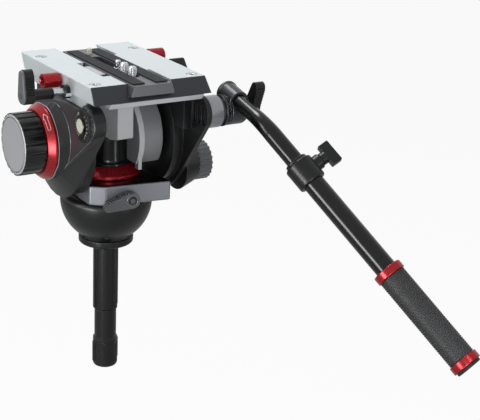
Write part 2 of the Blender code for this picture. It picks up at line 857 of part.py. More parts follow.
def build_core(finish, group):
    """The casting between the arms: block, web and drum round the tilt axle."""
    back = [(core_block_back, core_bottom)]
    front = [(-core_block_front, core_bottom)]
    block_arc = arc((0, tilt_height), core_radius, acos(core_block_back / core_radius),
                    pi - acos(core_block_front / core_radius), core_arc_steps)
    core = add_piece("tilt_core", slab(front + back + block_arc, -core_block_left, core_block_right),
                     finish["grey paint"], group)
    ease_edges(core, edge_ease)
    web_top = tilt_height + core_radius - core_slot_depth
    join(core, box(core_block_right - overrun, core_slot_right + overrun, -core_web_front,
                   core_web_back, core_bottom, web_top))
    drum = [(0, core_slot_right), (core_flange_radius, core_slot_right),
            (core_flange_radius, core_drum_left), (core_drum_radius, core_drum_left),
            (core_drum_radius, core_drum_right - edge_ease),
            (core_drum_radius - edge_ease, core_drum_right), (0, core_drum_right)]
    join(core, turned(drum, tilt_frame(0), fine_steps))
    cut(core, box(core_block_right + overrun, core_drum_right + overrun, -core_radius, core_radius,
                  0, core_underside))
    fin_left = core_slot_right + edge_ease
    join(core, box(fin_left, fin_left + core_fin_thickness, -core_fin_front,
                   -core_fin_front + core_fin_depth, core_fin_bottom,
                   (core_underside + tilt_height) / 2))
    cut(core, rod(core_hollow_radius, core_hollow_left, core_drum_right + overrun, tilt_frame(0)))
    cut(core, rod(axle_radius + running_gap, -core_block_left - overrun, core_hollow_left + overrun,
                  tilt_frame(0)))


def build_core_inside(finish, group):
    """Drag cartridge on the left, counterbalance spring and bearing on the right."""
    inner = axle_radius + running_gap
    left = [(inner, -cartridge_right), (cartridge_radius, -cartridge_right),
            (cartridge_radius, -cartridge_left + cartridge_step),
            (cartridge_radius - cartridge_step, -cartridge_left), (inner, -cartridge_left)]
    add_piece("drag_cartridge", turned(left, tilt_frame(0), fine_steps), finish["aluminium"], group)

    coil = []
    low = core_hollow_left + spring_wire_radius + seat_gap
    rise = spring_length / (spring_turns * spring_turn_steps)
    for step in range(spring_turns * spring_turn_steps + 1):
        turn = 2 * pi * step / spring_turn_steps
        centre = Vector((low + rise * step, spring_radius * cos(turn),
                         tilt_height + spring_radius * sin(turn)))
        out = Vector((0, cos(turn), sin(turn)))
        coil.append([centre + out * spring_wire_radius * cos(side)
                     + Vector((spring_wire_radius * sin(side), 0, 0))
                     for side in turns_of(spring_wire_sides)])
    add_piece("counterbalance_spring", loft(coil), finish["steel"], group)

    cover_left = core_drum_right - drum_cover_thickness
    add_piece("drum_cover", tube(core_hollow_radius - seat_gap, tilt_bearing_radius + seat_gap,
                                 cover_left, core_drum_right, tilt_frame(0)),
              finish["black paint"], group)
    add_piece("tilt_bearing", tube(tilt_bearing_radius, axle_radius + seat_gap,
                                   core_drum_right - tilt_bearing_width, core_drum_right,
                                   tilt_frame(0)),
              finish["brass"], group)


def turns_of(sides):
    return [2 * pi * side / sides for side in range(sides)]


def build_axle(finish, group):
    add_piece("tilt_axle", rod(axle_radius, -axle_left, axle_right, tilt_frame(0), ease=edge_ease),
              finish["steel"], group)


def pear(x, radius, nose, back=0.0, lift=0.0):
    """The side outline of an arm at x: a circle about the tilt axis and one at the nose."""
    rise = rosette_rise if x > 0 else dial_rise
    outline = teardrop((back, tilt_height + lift), radius, (-nose_reach, tilt_height + rise), nose)
    return [(x, y, z) for y, z in outline]


def trim_arm(arm, left, right):
    """Cuts an arm level below the platform's skirt."""
    cut(arm, box(left, right, -shoulder_front - seat_gap - shoulder_margin, arm_trim_back,
                 shoulder_top, shoulder_top + arm_radius))


def build_left_arm(finish, group):
    """Left arm: a flared housing that carries the tilt drag and the counterbalance dial."""
    step = arm_rim_ease
    rings = [pear(-left_arm_inner, arm_radius - step, nose_radius - step),
             pear(-left_arm_inner - step, arm_radius, nose_radius),
             pear(-left_arm_inner - arm_rim_width, arm_radius, nose_radius),
             pear(-arm_face + step, arm_face_radius + step, nose_face_radius + step,
                  arm_face_back, arm_face_rise),
             pear(-arm_face, arm_face_radius, nose_face_radius, arm_face_back, arm_face_rise)]
    arm = add_piece("left_arm", loft(rings), finish["black paint"], group)
    join(arm, rod(hub_radius, left_hub_inner, left_arm_inner + step, tilt_frame(0, -1), fine_steps))
    trim_arm(arm, -arm_face - overrun, -arm_inner + step)
    join(arm, box(-arm_inner - shoulder_thickness, -arm_inner, -shoulder_front, shoulder_back,
                  shoulder_foot, shoulder_top))
    join(arm, rod(dial_boss_radius, arm_face - overrun, arm_face + dial_boss_length,
                  nose_frame(0, -1)))
    cut(arm, rod(axle_radius + seat_gap, left_hub_inner - overrun, arm_face + overrun,
                 tilt_frame(0, -1)))
    cut(arm, rod(dial_stem_radius + seat_gap, arm_face - dial_stem_depth - seat_gap,
                 arm_face + dial_boss_length + overrun, nose_frame(0, -1), small_steps))


def build_right_arm(finish, group):
    """Right arm: a thick plate on a hub, with moulded pockets and the rosette boss."""
    step = arm_rim_ease
    outer = right_plate_inner + right_plate_thickness
    rings = [pear(right_plate_inner, right_plate_radius, nose_radius),
             pear(outer - step, right_plate_radius, nose_radius),
             pear(outer, right_plate_radius - step, nose_radius - step)]
    arm = add_piece("right_arm", loft(rings), finish["black paint"], group)
    join(arm, rod(hub_radius, right_hub_inner, right_plate_inner + step, tilt_frame(0), fine_steps))
    trim_arm(arm, right_hub_inner + step, outer + overrun)
    join(arm, box(arm_inner, right_plate_inner + step, -shoulder_front, shoulder_back,
                  shoulder_foot, shoulder_top))
    boss = [(0, outer - step), (rosette_boss_radius, outer - step),
            (rosette_boss_radius, outer + rosette_boss_length - rosette_step_length),
            (rosette_step_radius, outer + rosette_boss_length - rosette_step_length),
            (rosette_step_radius, outer + rosette_boss_length), (0, outer + rosette_boss_length)]
    join(arm, turned(boss, nose_frame(0)))
    cut(arm, rod(axle_radius + seat_gap, right_hub_inner - overrun, outer + overrun, tilt_frame(0)))
    cut(arm, rod(rosette_bolt_radius + seat_gap, outer + seat_gap,
                 outer + rosette_boss_length + overrun, nose_frame(0), small_steps))
    for pocket in range(arm_pockets):
        far = -arm_pocket_near - pocket * arm_pocket_pitch
        low = tilt_height + arm_pocket_rise
        cut(arm, box(right_plate_inner - overrun, right_plate_inner + arm_pocket_depth,
                     far - arm_pocket_width, far, low, low + arm_pocket_height))


def corner_screw_places():
    """The four screws' places on the platform: left and right, near then far."""
    across = half_width - corner_screw_inset
    return [(side * across, y) for y in (-corner_screw_near, corner_screw_far) for side in (-1, 1)]


def build_platform(finish, group):
    """Bridge platform over both arms: raked ends, a dovetail channel and two skirts."""
    bottom = platform_top - platform_thickness
    half = half_width
    wide = half + platform_draft
    near, far = -platform_near, platform_far
    rings = [[(-wide, near - platform_rake, bottom), (wide, near - platform_rake, bottom),
              (wide, far - platform_rake, bottom), (-wide, far - platform_rake, bottom)],
             [(-half, near, platform_top), (half, near, platform_top), (half, far, platform_top),
              (-half, far, platform_top)]]
    platform = add_piece("platform", loft(rings), finish["grey paint"], group)
    ease_edges(platform, edge_ease, platform_ease_segments)
    for side in (-1, 1):
        inner, outer = sorted((side * arm_inner, side * (arm_inner + skirt_width)))
        join(platform, box(inner, outer, -skirt_front, skirt_back, bottom - skirt_height,
                           bottom + overrun))
    floor = platform_top - channel_depth
    left, right = channel_centre - channel_floor_width / 2, channel_centre + channel_floor_width / 2
    lean = (channel_floor_width - channel_top_width) / 2 / channel_depth * (channel_depth + overrun)
    roof = platform_top + overrun
    ends = [[(left, y, floor), (right, y, floor), (right - lean, y, roof), (left + lean, y, roof)]
            for y in (near - platform_rake - overrun, far + overrun)]
    cut(platform, loft(ends))
    for start, stop in ((near - platform_rake - overrun, -channel_relief_near),
                        (channel_relief_far, far + overrun)):
        cut(platform, box(right - channel_relief_wall, right + channel_relief, start, stop,
                          floor + channel_relief, roof))
    cut(platform, box(left - jaw_pocket_width, left + overrun, -jaw_pocket_near, jaw_pocket_far,
                      floor, roof))
    for side in (-1, 1):
        inner, outer = sorted((side * (underside_pocket_outer - underside_pocket_width),
                               side * underside_pocket_outer))
        cut(platform, box(inner, outer, -underside_pocket_near, underside_pocket_far,
                          bottom - overrun, bottom + underside_pocket_depth))
    seat = platform_top - corner_screw_depth
    for x, y in corner_screw_places():
        cut(platform, rod(corner_screw_radius + corner_screw_clearance, seat, roof,
                          along((0, 0, 1), (x, y, 0), (1, 0, 0)), plain_steps))
        cut(platform, rod(corner_screw_shank + seat_gap, seat - corner_screw_length - seat_gap, seat,
                          along((0, 0, 1), (x, y, 0), (1, 0, 0)), small_steps))
    join(platform, rod(lock_collar_radius, half, wide + lock_collar_length,
                       side_frame(0, -lock_shaft_near, lock_shaft_height, -1), small_steps))
    cut(platform, rod(lock_shaft_radius + seat_gap, half - lock_shaft_depth - seat_gap,
                      wide + lock_collar_length + overrun,
                      side_frame(0, -lock_shaft_near, lock_shaft_height, -1), small_steps))
    cut(platform, rod(release_shaft_radius + seat_gap, half - release_shaft_depth - seat_gap,
                      wide + overrun, side_frame(0, -release_near, release_height), small_steps))
    for side, place in ((-1, left_socket_place), (1, right_socket_place)):
        cut(platform, rod(socket_shank_radius + seat_gap, half - socket_shank_depth - seat_gap,
                          wide + overrun, side_frame(0, place, socket_height, side), small_steps))


def build_lip(finish, group):
    """Lip under the platform's near end."""
    top = platform_top - platform_thickness - seat_gap
    low = top - chin_drop
    front = -platform_near - platform_rake
    outline = [(front + seat_gap, top), (front + chin_slope, low), (front + chin_depth, low),
               (front + chin_depth, top)]
    add_piece("platform_lip", slab(outline, chin_left_inset - half_width,
                                   half_width - chin_right_inset),
              finish["silver paint"], group)


def build_corner_screws(finish, group):
    """Four screws that hold the platform together, in counterbores."""
    seat = platform_top - corner_screw_depth + seat_gap
    head = seat + corner_screw_head_height
    foot = seat - corner_screw_length
    for index, (x, y) in enumerate(corner_screw_places()):
        frame = along((0, 0, 1), (x, y, 0), (1, 0, 0))
        sockets = [(0, foot), (corner_screw_shank, foot), (corner_screw_shank, seat),
                   (corner_screw_radius, seat), (corner_screw_radius, head - fine_ease),
                   (corner_screw_radius - fine_ease, head), (corner_screw_hex_radius, head),
                   (corner_screw_hex_radius, head - corner_screw_hex_depth),
                   (0, head - corner_screw_hex_depth)]
        add_piece(f"corner_screw_{index + 1}", turned(sockets, frame, small_steps),
                  finish["black steel"], group)


def build_plate(finish, group):
    """Sliding camera plate with its rubber strips and guide pin."""
    floor = platform_top - channel_depth + seat_gap
    top = floor + plate_thickness
    foot, crown = plate_foot_width / 2, plate_top_width / 2
    land = plate_flank_rise
    outline = [(-foot + fine_ease, floor), (foot - fine_ease, floor), (foot, floor + fine_ease),
               (foot, floor + land), (crown, top - fine_ease), (crown - fine_ease, top),
               (-crown + fine_ease, top), (-crown, top - fine_ease), (-foot, floor + land),
               (-foot, floor + fine_ease)]
    rings = [[(channel_centre + x, y, z) for x, z in outline] for y in (-plate_near, plate_far)]
    plate = add_piece("camera_plate", loft(rings), finish["black anodised"], group)
    step = floor + plate_slot_head_depth
    rings = []
    for level, width in ((floor - overrun, plate_slot_head_width), (step, plate_slot_head_width),
                         (step, plate_slot_width), (top + overrun, plate_slot_width)):
        half = width / 2
        slot = arc((channel_centre, -plate_slot_near + half), half, pi, 2 * pi, small_steps // 2)
        slot += arc((channel_centre, plate_slot_far - half), half, 0, pi, small_steps // 2)
        rings.append([(x, y, level) for x, y in slot])
    cut(plate, loft(rings))
    across = along((0, 0, 1), (channel_centre, 0, 0), (1, 0, 0))
    cut(plate, rod(video_pin_radius + seat_gap, top - pin_seat_depth - seat_gap, top + overrun,
                   across @ Matrix.Translation((0, video_pin_far, 0)), small_steps))

    for name, side in (("left_plate_pad", -1), ("right_plate_pad", 1)):
        outer = channel_centre + side * (crown - pad_inset)
        inner, outer = sorted((outer, outer - side * pad_width))
        add_piece(name, box(inner, outer, pad_margin - plate_near, plate_far - pad_margin,
                            top + seat_gap, top + seat_gap + pad_thickness),
                  finish["rubber"], group)

    seat = floor + plate_slot_head_depth - seat_gap
    neck = plate_slot_width / 2 - running_gap
    tip = top + guide_pin_rise
    pin = [(0, floor + seat_gap), (guide_pin_foot_radius, floor + seat_gap),
           (guide_pin_foot_radius, seat), (neck, seat), (neck, top), (guide_pin_radius, top),
           (guide_pin_radius, tip - edge_ease), (guide_pin_radius - edge_ease, tip), (0, tip)]
    add_piece("guide_pin", turned(pin, across @ Matrix.Translation((0, -guide_pin_near, 0)),
                                  small_steps),
              finish["steel"], group)


def build_video_pin(finish, group):
    """Spring pin that keeps a camera from turning on the plate."""
    top = platform_top - channel_depth + seat_gap + plate_thickness
    frame = along((0, 0, 1), (channel_centre, video_pin_far, 0), (1, 0, 0))
    add_piece("video_pin", rod(video_pin_radius, top - pin_seat_depth + pin_travel,
                               top + video_pin_rise, frame, small_steps, edge_ease),
              finish["ivory plastic"], group)


def build_camera_screw(name, place, finish, group):
    """Screw that holds a camera, with its head in the plate's groove."""
    floor = platform_top - channel_depth + seat_gap
    top = floor + plate_thickness
    seat = floor + plate_slot_head_depth - seat_gap
    head_low = seat - camera_screw_head_height
    frame = along((0, 0, 1), (channel_centre, -place, 0), (1, 0, 0))
    profile = [(0, head_low), (camera_screw_head_radius, head_low), (camera_screw_head_radius, seat),
               (camera_screw_radius, seat), (camera_screw_radius, top + camera_screw_rise - edge_ease),
               (camera_screw_radius - edge_ease, top + camera_screw_rise),
               (0, top + camera_screw_rise)]
    screw = add_piece(name, turned(profile, frame, small_steps), finish["steel"], group)
    slot = coin_slot_width / 2
    ridge = box(-camera_screw_head_radius, camera_screw_head_radius, -slot, slot,
                head_low - overrun, head_low + coin_slot_depth)
    bmesh.ops.transform(ridge, matrix=frame, verts=ridge.verts)
    cut(screw, ridge)


def build_jaw(finish, group):
    """Clamping jaw in the channel's left wall."""
    floor = platform_top - channel_depth + seat_gap
    foot = channel_centre - plate_foot_width / 2 - seat_gap
    crown = channel_centre - plate_top_width / 2 - seat_gap
    lean = (crown - foot) / (plate_thickness - plate_flank_rise)
    face = foot + lean * (jaw_height - plate_flank_rise)
    rings = [[(foot - jaw_thickness, y, floor), (foot, y, floor), (foot, y, floor + plate_flank_rise),
              (face, y, floor + jaw_height), (foot - jaw_thickness, y, floor + jaw_height)]
             for y in (jaw_far - jaw_length, jaw_far)]
    add_piece("plate_jaw", loft(rings), finish["aluminium"], group)


def build_drag_side(finish, tilt, knob_group, dial_group, button_group):
    """Tilt drag on the left arm: cone, index ring, ribbed knob and its cap, then the dial."""
    bore = drag_knob_shaft_radius + running_gap
    cone_start = arm_face + seat_gap
    cone_end = cone_start + drag_cone_length
    foot = teardrop((0, 0), drag_cone_foot_radius, (-drag_cone_tail_reach, drag_cone_tail_rise),
                    drag_cone_tail_radius)
    crown = [tuple(Vector(point).normalized() * drag_cone_top_radius) for point in foot]
    rings = [[(-level, y, tilt_height + z) for y, z in outline]
             for level, outline in ((cone_start, foot), (cone_end, crown))]
    cone = add_piece("drag_cone", loft(rings), finish["black paint"], tilt)
    cut(cone, rod(bore, cone_start - overrun, cone_end + overrun, tilt_frame(0, -1)))

    ring_start = cone_end + running_gap
    ring_end = ring_start + index_ring_length
    ring = [(bore, ring_start), (index_ring_radius - fine_ease, ring_start),
            (index_ring_radius, ring_start + fine_ease),
            (index_ring_radius, ring_start + index_ring_rim), (index_ring_front_radius, ring_end),
            (bore, ring_end)]
    add_piece("index_ring", turned(ring, tilt_frame(0, -1), fine_steps), finish["red anodised"],
              knob_group)

    start = ring_end + running_gap
    end = start + drag_knob_length
    outline = ribbed(drag_knob_radius - drag_knob_rib_depth, drag_knob_radius, drag_knob_ribs,
                     drag_knob_rib_share)
    eased = scaled(outline, (drag_knob_radius - edge_ease) / drag_knob_radius)
    rings = [[(x, y, start) for x, y in outline], [(x, y, end - edge_ease) for x, y in outline],
             [(x, y, end) for x, y in eased]]
    knob = add_piece("drag_knob", loft(rings, tilt_frame(0, -1)), finish["black plastic"], knob_group)
    join(knob, rod(drag_knob_shaft_radius, axle_left + seat_gap, start + fine_ease, tilt_frame(0, -1),
                   small_steps))
    cut(knob, rod(drag_cap_radius + seat_gap, end - drag_cap_thickness, end + overrun,
                  tilt_frame(0, -1), fine_steps))
    cap_low = end - drag_cap_thickness + seat_gap
    cap_high = cap_low + drag_cap_thickness
    groove = drag_cap_radius - drag_cap_rim
    cap = [(0, cap_low), (drag_cap_radius, cap_low), (drag_cap_radius, cap_high),
           (groove, cap_high), (groove, cap_high - drag_cap_groove),
           (groove - drag_cap_groove, cap_high - drag_cap_groove), (groove - drag_cap_groove, cap_high),
           (0, cap_high)]
    add_piece("drag_knob_cap", turned(cap, tilt_frame(0, -1), fine_steps), finish["grey metal"],
              knob_group)

    seat = arm_face + dial_boss_length + seat_gap
    face = seat + dial_length
    outline = ribbed(dial_radius - dial_tooth_depth, dial_radius, dial_teeth, dial_tooth_share)
    dial = add_piece("balance_dial", prism(outline, seat, face, nose_frame(0, -1)),
                     finish["black plastic"], dial_group)
    join(dial, rod(dial_stem_radius, arm_face - dial_stem_depth, seat + fine_ease, nose_frame(0, -1),
                   small_steps))
    cut(dial, rod(button_radius + seat_gap, face - button_seat_depth, face + overrun,
                  nose_frame(0, -1), small_steps))
    foot = face - button_seat_depth + button_travel + seat_gap
    add_piece("light_button", rod(button_radius, foot, face + button_stand, nose_frame(0, -1),
                                  small_steps, edge_ease),
              finish["ivory plastic"], button_group)


def tilt_lock_frame():
    return side_frame(0, -tilt_lock_reach, tilt_height - tilt_lock_drop)


def build_tilt_lock(finish, tilt, group):
    """Tilt lock on the right arm: a cone on the plate and a ribbed knob."""
    frame = tilt_lock_frame()
    start = right_plate_inner + right_plate_thickness + seat_gap
    end = start + tilt_cone_length
    bore = tilt_lock_shaft_radius + running_gap
    cone = [(bore, start), (tilt_cone_foot_radius, start), (tilt_cone_foot_radius, start + edge_ease),
            (tilt_cone_top_radius, end), (bore, end)]
    add_piece("tilt_lock_housing", turned(cone, frame, fine_steps), finish["black paint"], tilt)
    start_knob = end + running_gap
    finish_knob = start_knob + tilt_knob_length
    outline = ribbed(tilt_knob_radius - tilt_knob_rib_depth, tilt_knob_radius, tilt_knob_ribs,
                     tilt_knob_rib_share)
    eased = scaled(outline, (tilt_knob_radius - edge_ease) / tilt_knob_radius)
    rings = [[(x, y, start_knob) for x, y in outline],
             [(x, y, finish_knob - edge_ease) for x, y in outline],
             [(x, y, finish_knob) for x, y in eased]]
    knob = add_piece("tilt_lock_knob", loft(rings, frame), finish["black plastic"], group)
    join(knob, rod(tilt_lock_shaft_radius, start + seat_gap, start_knob + fine_ease, frame,
                   small_steps))


def build_plate_lock(finish, group):
    """Plate lock on the left: a shaft and a ribbed lever with a sleeve."""
    frame = side_frame(0, -lock_shaft_near, lock_shaft_height, -1)
    wall = half_width + platform_draft
    inner_face = lever_face - lever_cap_thickness - lever_thickness
    add_piece("lock_shaft", rod(lock_shaft_radius, half_width - lock_shaft_depth,
                                inner_face - seat_gap, frame, small_steps),
              finish["steel"], group)
    sleeve_start = wall + lock_collar_length + lock_shaft_bare_length
    hub = (0, 0)
    tip = (lever_length, 0)
    outline = teardrop(hub, lever_hub_radius, tip, lever_tip_radius, right_ribs=lever_ribs,
                       depth=lever_rib_depth)
    lever = add_piece("lock_lever", prism(outline, inner_face, inner_face + lever_thickness, frame),
                      finish["black plastic"], group)
    inset = teardrop(hub, lever_hub_radius - lever_cap_margin, tip,
                     lever_tip_radius - lever_cap_margin)
    join(lever, prism(inset, lever_face - lever_cap_thickness - fine_ease, lever_face, frame))
    join(lever, rod(lock_sleeve_radius, sleeve_start, inner_face + fine_ease, frame, small_steps))
    cut(lever, rod(lock_shaft_radius + seat_gap, sleeve_start - overrun, inner_face, frame,
                   small_steps))


def build_release(finish, group):
    """Plate release lever on the right: a short shaft and a wide wing."""
    frame = side_frame(0, -release_near, release_height)
    wall = half_width + platform_draft + seat_gap
    lever = add_piece("release_lever", rod(release_shaft_radius, half_width - release_shaft_depth,
                                           wall + release_stem_length + fine_ease, frame, small_steps),
                      finish["black plastic"], group)
    start = wall + release_stem_length
    tip = (release_length * sin(release_angle), -release_length * cos(release_angle))
    outline = teardrop((0, 0), release_hub_radius, tip, release_tip_radius)
    join(lever, prism(outline, start, start + release_width, frame))


def build_sockets(finish, group):
    """Threaded accessory sockets, one in each side of the platform."""
    wall = half_width + platform_draft + seat_gap
    end = wall + socket_length
    inner = half_width - socket_shank_depth
    profile = [(0, inner), (socket_shank_radius, inner), (socket_shank_radius, wall),
               (socket_radius, wall), (socket_radius, end - fine_ease),
               (socket_radius - fine_ease, end), (socket_bore, end),
               (socket_bore, end - socket_bore_depth), (0, end - socket_bore_depth)]
    for name, side, place in (("left_socket", -1, left_socket_place),
                              ("right_socket", 1, right_socket_place)):
        add_piece(name, turned(profile, side_frame(0, place, socket_height, side), socket_steps),
                  finish["red anodised"], group)


def toothed_disc(bore, radius, back, floor, teeth, height, frame):
    """A flat disc with radial teeth on its front: crests and valleys alternate."""
    made = bmesh.new()
    rings = []
    for step in range(2 * teeth):
        turn = pi * step / teeth
        lift = height if step % 2 else 0
        rings.append([made.verts.new((reach * cos(turn), reach * sin(turn), level))
                      for reach, level in ((bore, back), (radius, back), (radius, floor + lift),
                                           (bore, floor + lift / 2))])
    for first, second in zip(rings, rings[1:] + rings[:1]):
        for corner, other in ((0, 1), (1, 2), (2, 3), (3, 0)):
            made.faces.new((first[corner], first[other], second[other], second[corner]))
    bmesh.ops.transform(made, matrix=frame, verts=made.verts)
    return made


def build_rosette(finish, group):
    """Fixed half of the rosette and the bolt through both halves."""
    floor = rosette_start + rosette_disc_thickness - rosette_tooth_height
    add_piece("rosette_disc", toothed_disc(rosette_bore, rosette_boss_radius, rosette_start, floor,
                                           rosette_teeth, rosette_tooth_height, nose_frame(0)),
              finish["black steel"], group)
    inner = right_plate_outer + 2 * seat_gap
    add_piece("rosette_bolt", rod(rosette_bolt_radius, inner, wing_start + wing_bolt_reach,
                                  nose_frame(0), small_steps),
              finish["steel"], group)


def bar_frame():
    """The lower bar's frame: Z runs down the bar from the bend, X leans to the thumb screw."""
    return along(bar_axis_shares, bar_bend, (1, 0, bar_thumb_lean_share))


def swept(path, radii, sides):
    """A solid round bar along a path, with rings square to it and a radius for each."""
    rings = []
    befores, afters = path[:1] + path[:-1], path[1:] + path[-1:]
    for before, point, after, radius in zip(befores, path, afters, radii):
        ring = along(after - before, point, (1, 0, 0))
        rings.append([ring @ Vector((radius * cos(turn), radius * sin(turn), 0))
                      for turn in turns_of(sides)])
    return loft(rings)


def bar_path(extra=0.0):
    """Centre line of the upper bar: straight, a curved bend, then straight down."""
    up = Vector((0, cos(bar_upper_slope), sin(bar_upper_slope)))
    down = Vector(bar_axis_shares).normalized()
    corner = Vector(bar_bend)
    path = [corner + up * (bar_clamp_end + extra), corner + up * (bar_clamp_end - bar_sleeve_length)]
    first, last = corner + up * bar_bend_run, corner + down * bar_bend_run
    for step in range(bar_bend_steps + 1):
        share = step / bar_bend_steps
        path.append(first * (1 - share) ** 2 + corner * 2 * share * (1 - share) + last * share ** 2)
    return path + [corner + down * (bar_inner_length + extra)]


def bar_radii(inset=0.0):
    """The upper bar is slim in its clamp and widens to the telescopic tube in the bend."""
    wider = bar_tube_radius - bar_neck_radius
    bend = [bar_neck_radius + wider * step / bar_bend_steps for step in range(bar_bend_steps + 1)]
    return [radius - inset for radius in [bar_neck_radius] * 2 + bend + [bar_tube_radius]]


def build_bar_upper(finish, group):
    """Upper pan bar: toothed disc, clamp body and the bent tube."""
    start = bar_disc_start + rosette_disc_thickness
    back = start - rosette_disc_thickness + rosette_tooth_height
    frame = along((-1, 0, 0), (start, -nose_reach, tilt_height + rosette_rise), (0, 0, 1))
    add_piece("bar_rosette_disc", toothed_disc(rosette_bore, clamp_disc_radius, 0, start - back,
                                               rosette_teeth, rosette_tooth_height, frame),
              finish["black steel"], group)

    up = Vector((0, cos(bar_upper_slope), sin(bar_upper_slope)))
    body_start = start + running_gap
    tube_frame = along(up, Vector(bar_bend), (1, 0, 0))
    low = bar_clamp_end - bar_sleeve_length
    sleeve = [(0, low), (bar_sleeve_radius, low), (bar_sleeve_radius, bar_clamp_end - bar_lip_length),
              (bar_lip_radius, bar_clamp_end - bar_lip_length),
              (bar_lip_radius, bar_clamp_end - fine_ease),
              (bar_lip_radius - fine_ease, bar_clamp_end), (0, bar_clamp_end)]
    body = add_piece("bar_clamp", turned(sleeve, tube_frame), finish["black plastic"], group)
    cut(body, rod(rosette_boss_radius + edge_ease, start - clamp_disc_radius, start + seat_gap,
                  nose_frame(0)))
    boss = [(0, body_start), (clamp_disc_radius, body_start)]
    boss += [(clamp_disc_radius - clamp_body_crown * inset, clamp_body_end - clamp_body_crown * drop)
             for inset, drop in clamp_crown_shares]
    join(body, turned(boss + [(0, clamp_body_end)], nose_frame(0)))
    cut(body, rod(bar_neck_radius + seat_gap, low - clamp_disc_radius, bar_clamp_end - clamp_end_wall,
                  tube_frame, fine_steps - 1))
    cut(body, rod(rosette_bolt_radius + seat_gap, body_start - overrun, clamp_body_end + overrun,
                  nose_frame(0), small_steps))

    bar = add_piece("bar_upper_tube", swept(bar_path(-clamp_end_wall - seat_gap), bar_radii(),
                                            bar_sides),
                    finish["black gloss"], group)
    cut(bar, swept(bar_path(overrun), bar_radii(bar_tube_wall), bar_bore_sides))


def build_wing(finish, group):
    """Wing lever that draws the two rosette discs together."""
    lead = wing_angle
    tip = (wing_blade_length * sin(lead), wing_blade_length * cos(lead))
    high = wing_start + wing_hub_length
    outline = teardrop((0, 0), wing_hub_radius - fine_ease, tip, wing_tip_radius,
                       left_ribs=wing_ribs, depth=wing_rib_depth)
    wing = add_piece("wing_lever", prism(outline, high - wing_blade_thickness, high, nose_frame(0)),
                     finish["black plastic"], group)
    join(wing, rod(wing_hub_radius, wing_start, high + wing_hub_stand, nose_frame(0), small_steps))
    cut(wing, rod(rosette_bolt_radius + seat_gap, wing_start - overrun,
                  wing_start + wing_bolt_reach + seat_gap, nose_frame(0), small_steps))


def build_bar_lower(finish, group):
    """Lower pan bar: collar, outer tube, ribbed grip with two rings, and the end cap."""
    frame = bar_frame()
    collar_end = bar_collar_start + bar_collar_length
    outer_start = collar_end - bar_collar_seat
    slide = bar_tube_radius + seat_gap
    ease = edge_ease
    collar = [(slide, bar_collar_start), (bar_collar_radius - ease, bar_collar_start),
              (bar_collar_radius, bar_collar_start + ease), (bar_collar_radius, collar_end - ease),
              (bar_collar_radius - ease, collar_end), (bar_outer_radius + seat_gap, collar_end),
              (bar_outer_radius + seat_gap, outer_start - seat_gap), (slide, outer_start - seat_gap)]
    ring = add_piece("bar_collar", turned(collar, frame), finish["black plastic"], group)
    across = bar_thumb_frame()
    join(ring, rod(thumb_boss_radius, bar_outer_radius + overrun,
                   bar_collar_radius + thumb_boss_length, across, small_steps))
    cut(ring, rod(thumb_stem_radius + seat_gap, slide - fine_ease,
                  bar_collar_radius + thumb_boss_length + overrun, across, small_steps))

    plug = bar_grip_end - bar_end_cap_depth
    add_piece("bar_lower_tube", tube(bar_outer_radius, slide, outer_start, plug, frame),
              finish["black gloss"], group)
    sleeve = bar_outer_radius + seat_gap
    spans = (("grip_ring_upper", bar_grip_start, bar_grip_start + bar_ring_length),
             ("grip_ring_lower", bar_grip_end - bar_ring_length, bar_grip_end))
    for name, low, high in spans:
        profile = [(sleeve, low), (bar_ring_radius - ease, low), (bar_ring_radius, low + ease),
                   (bar_ring_radius, high - ease), (bar_ring_radius - ease, high), (sleeve, high)]
        add_piece(name, turned(profile, frame), finish["red anodised"], group)
    add_piece("bar_grip", tube(bar_grip_radius, sleeve, bar_grip_start + bar_ring_length + seat_gap,
                               bar_grip_end - bar_ring_length - seat_gap, frame),
              finish["rubber"], group)
    low = bar_grip_end + seat_gap
    high = low + bar_cap_length
    cap = [(0, plug + seat_gap), (bar_outer_radius, plug + seat_gap), (bar_outer_radius, low),
           (bar_cap_radius, low), (bar_cap_radius, high - bar_cap_ease),
           (bar_cap_radius - bar_cap_ease, high), (0, high)]
    add_piece("bar_end_cap", turned(cap, frame), finish["black plastic"], group)


def bar_thumb_frame():
    """At the collar's middle: Z points out along the thumb screw, X runs down the bar."""
    frame = bar_frame()
    middle = frame @ Vector((0, 0, bar_collar_start + bar_collar_length / 2))
    return along(frame.to_3x3() @ Vector((1, 0, 0)), middle, bar_axis_shares)


def build_thumb_screw(finish, group):
    """Thumb screw that locks the telescopic bar."""
    across = bar_thumb_frame()
    start = bar_tube_radius + running_gap
    bar_low = bar_collar_radius + thumb_stem_length
    screw = add_piece("bar_thumb_screw", rod(thumb_stem_radius, start, bar_low + fine_ease, across,
                                             small_steps),
                      finish["black plastic"], group)
    half, wide = thumb_wing_length / 2, thumb_wing_thickness / 2
    ease = thumb_wing_round
    outline = [(-half, bar_low + ease), (-half + ease, bar_low), (half - ease, bar_low),
               (half, bar_low + ease), (half, bar_low + thumb_wing_height - ease),
               (half - ease, bar_low + thumb_wing_height),
               (-half + ease, bar_low + thumb_wing_height),
               (-half, bar_low + thumb_wing_height - ease)]
    wing = loft([[(x, y, z) for x, z in outline] for y in (-wide, wide)])
    bmesh.ops.transform(wing, matrix=across, verts=wing.verts)
    join(screw, wing)


def build_finishes():
    """One Principled material for each finish."""
    return {name: material(name.replace(" ", "_"), colour, roughness, metallic)
            for name, colour, roughness, metallic in finish_table}


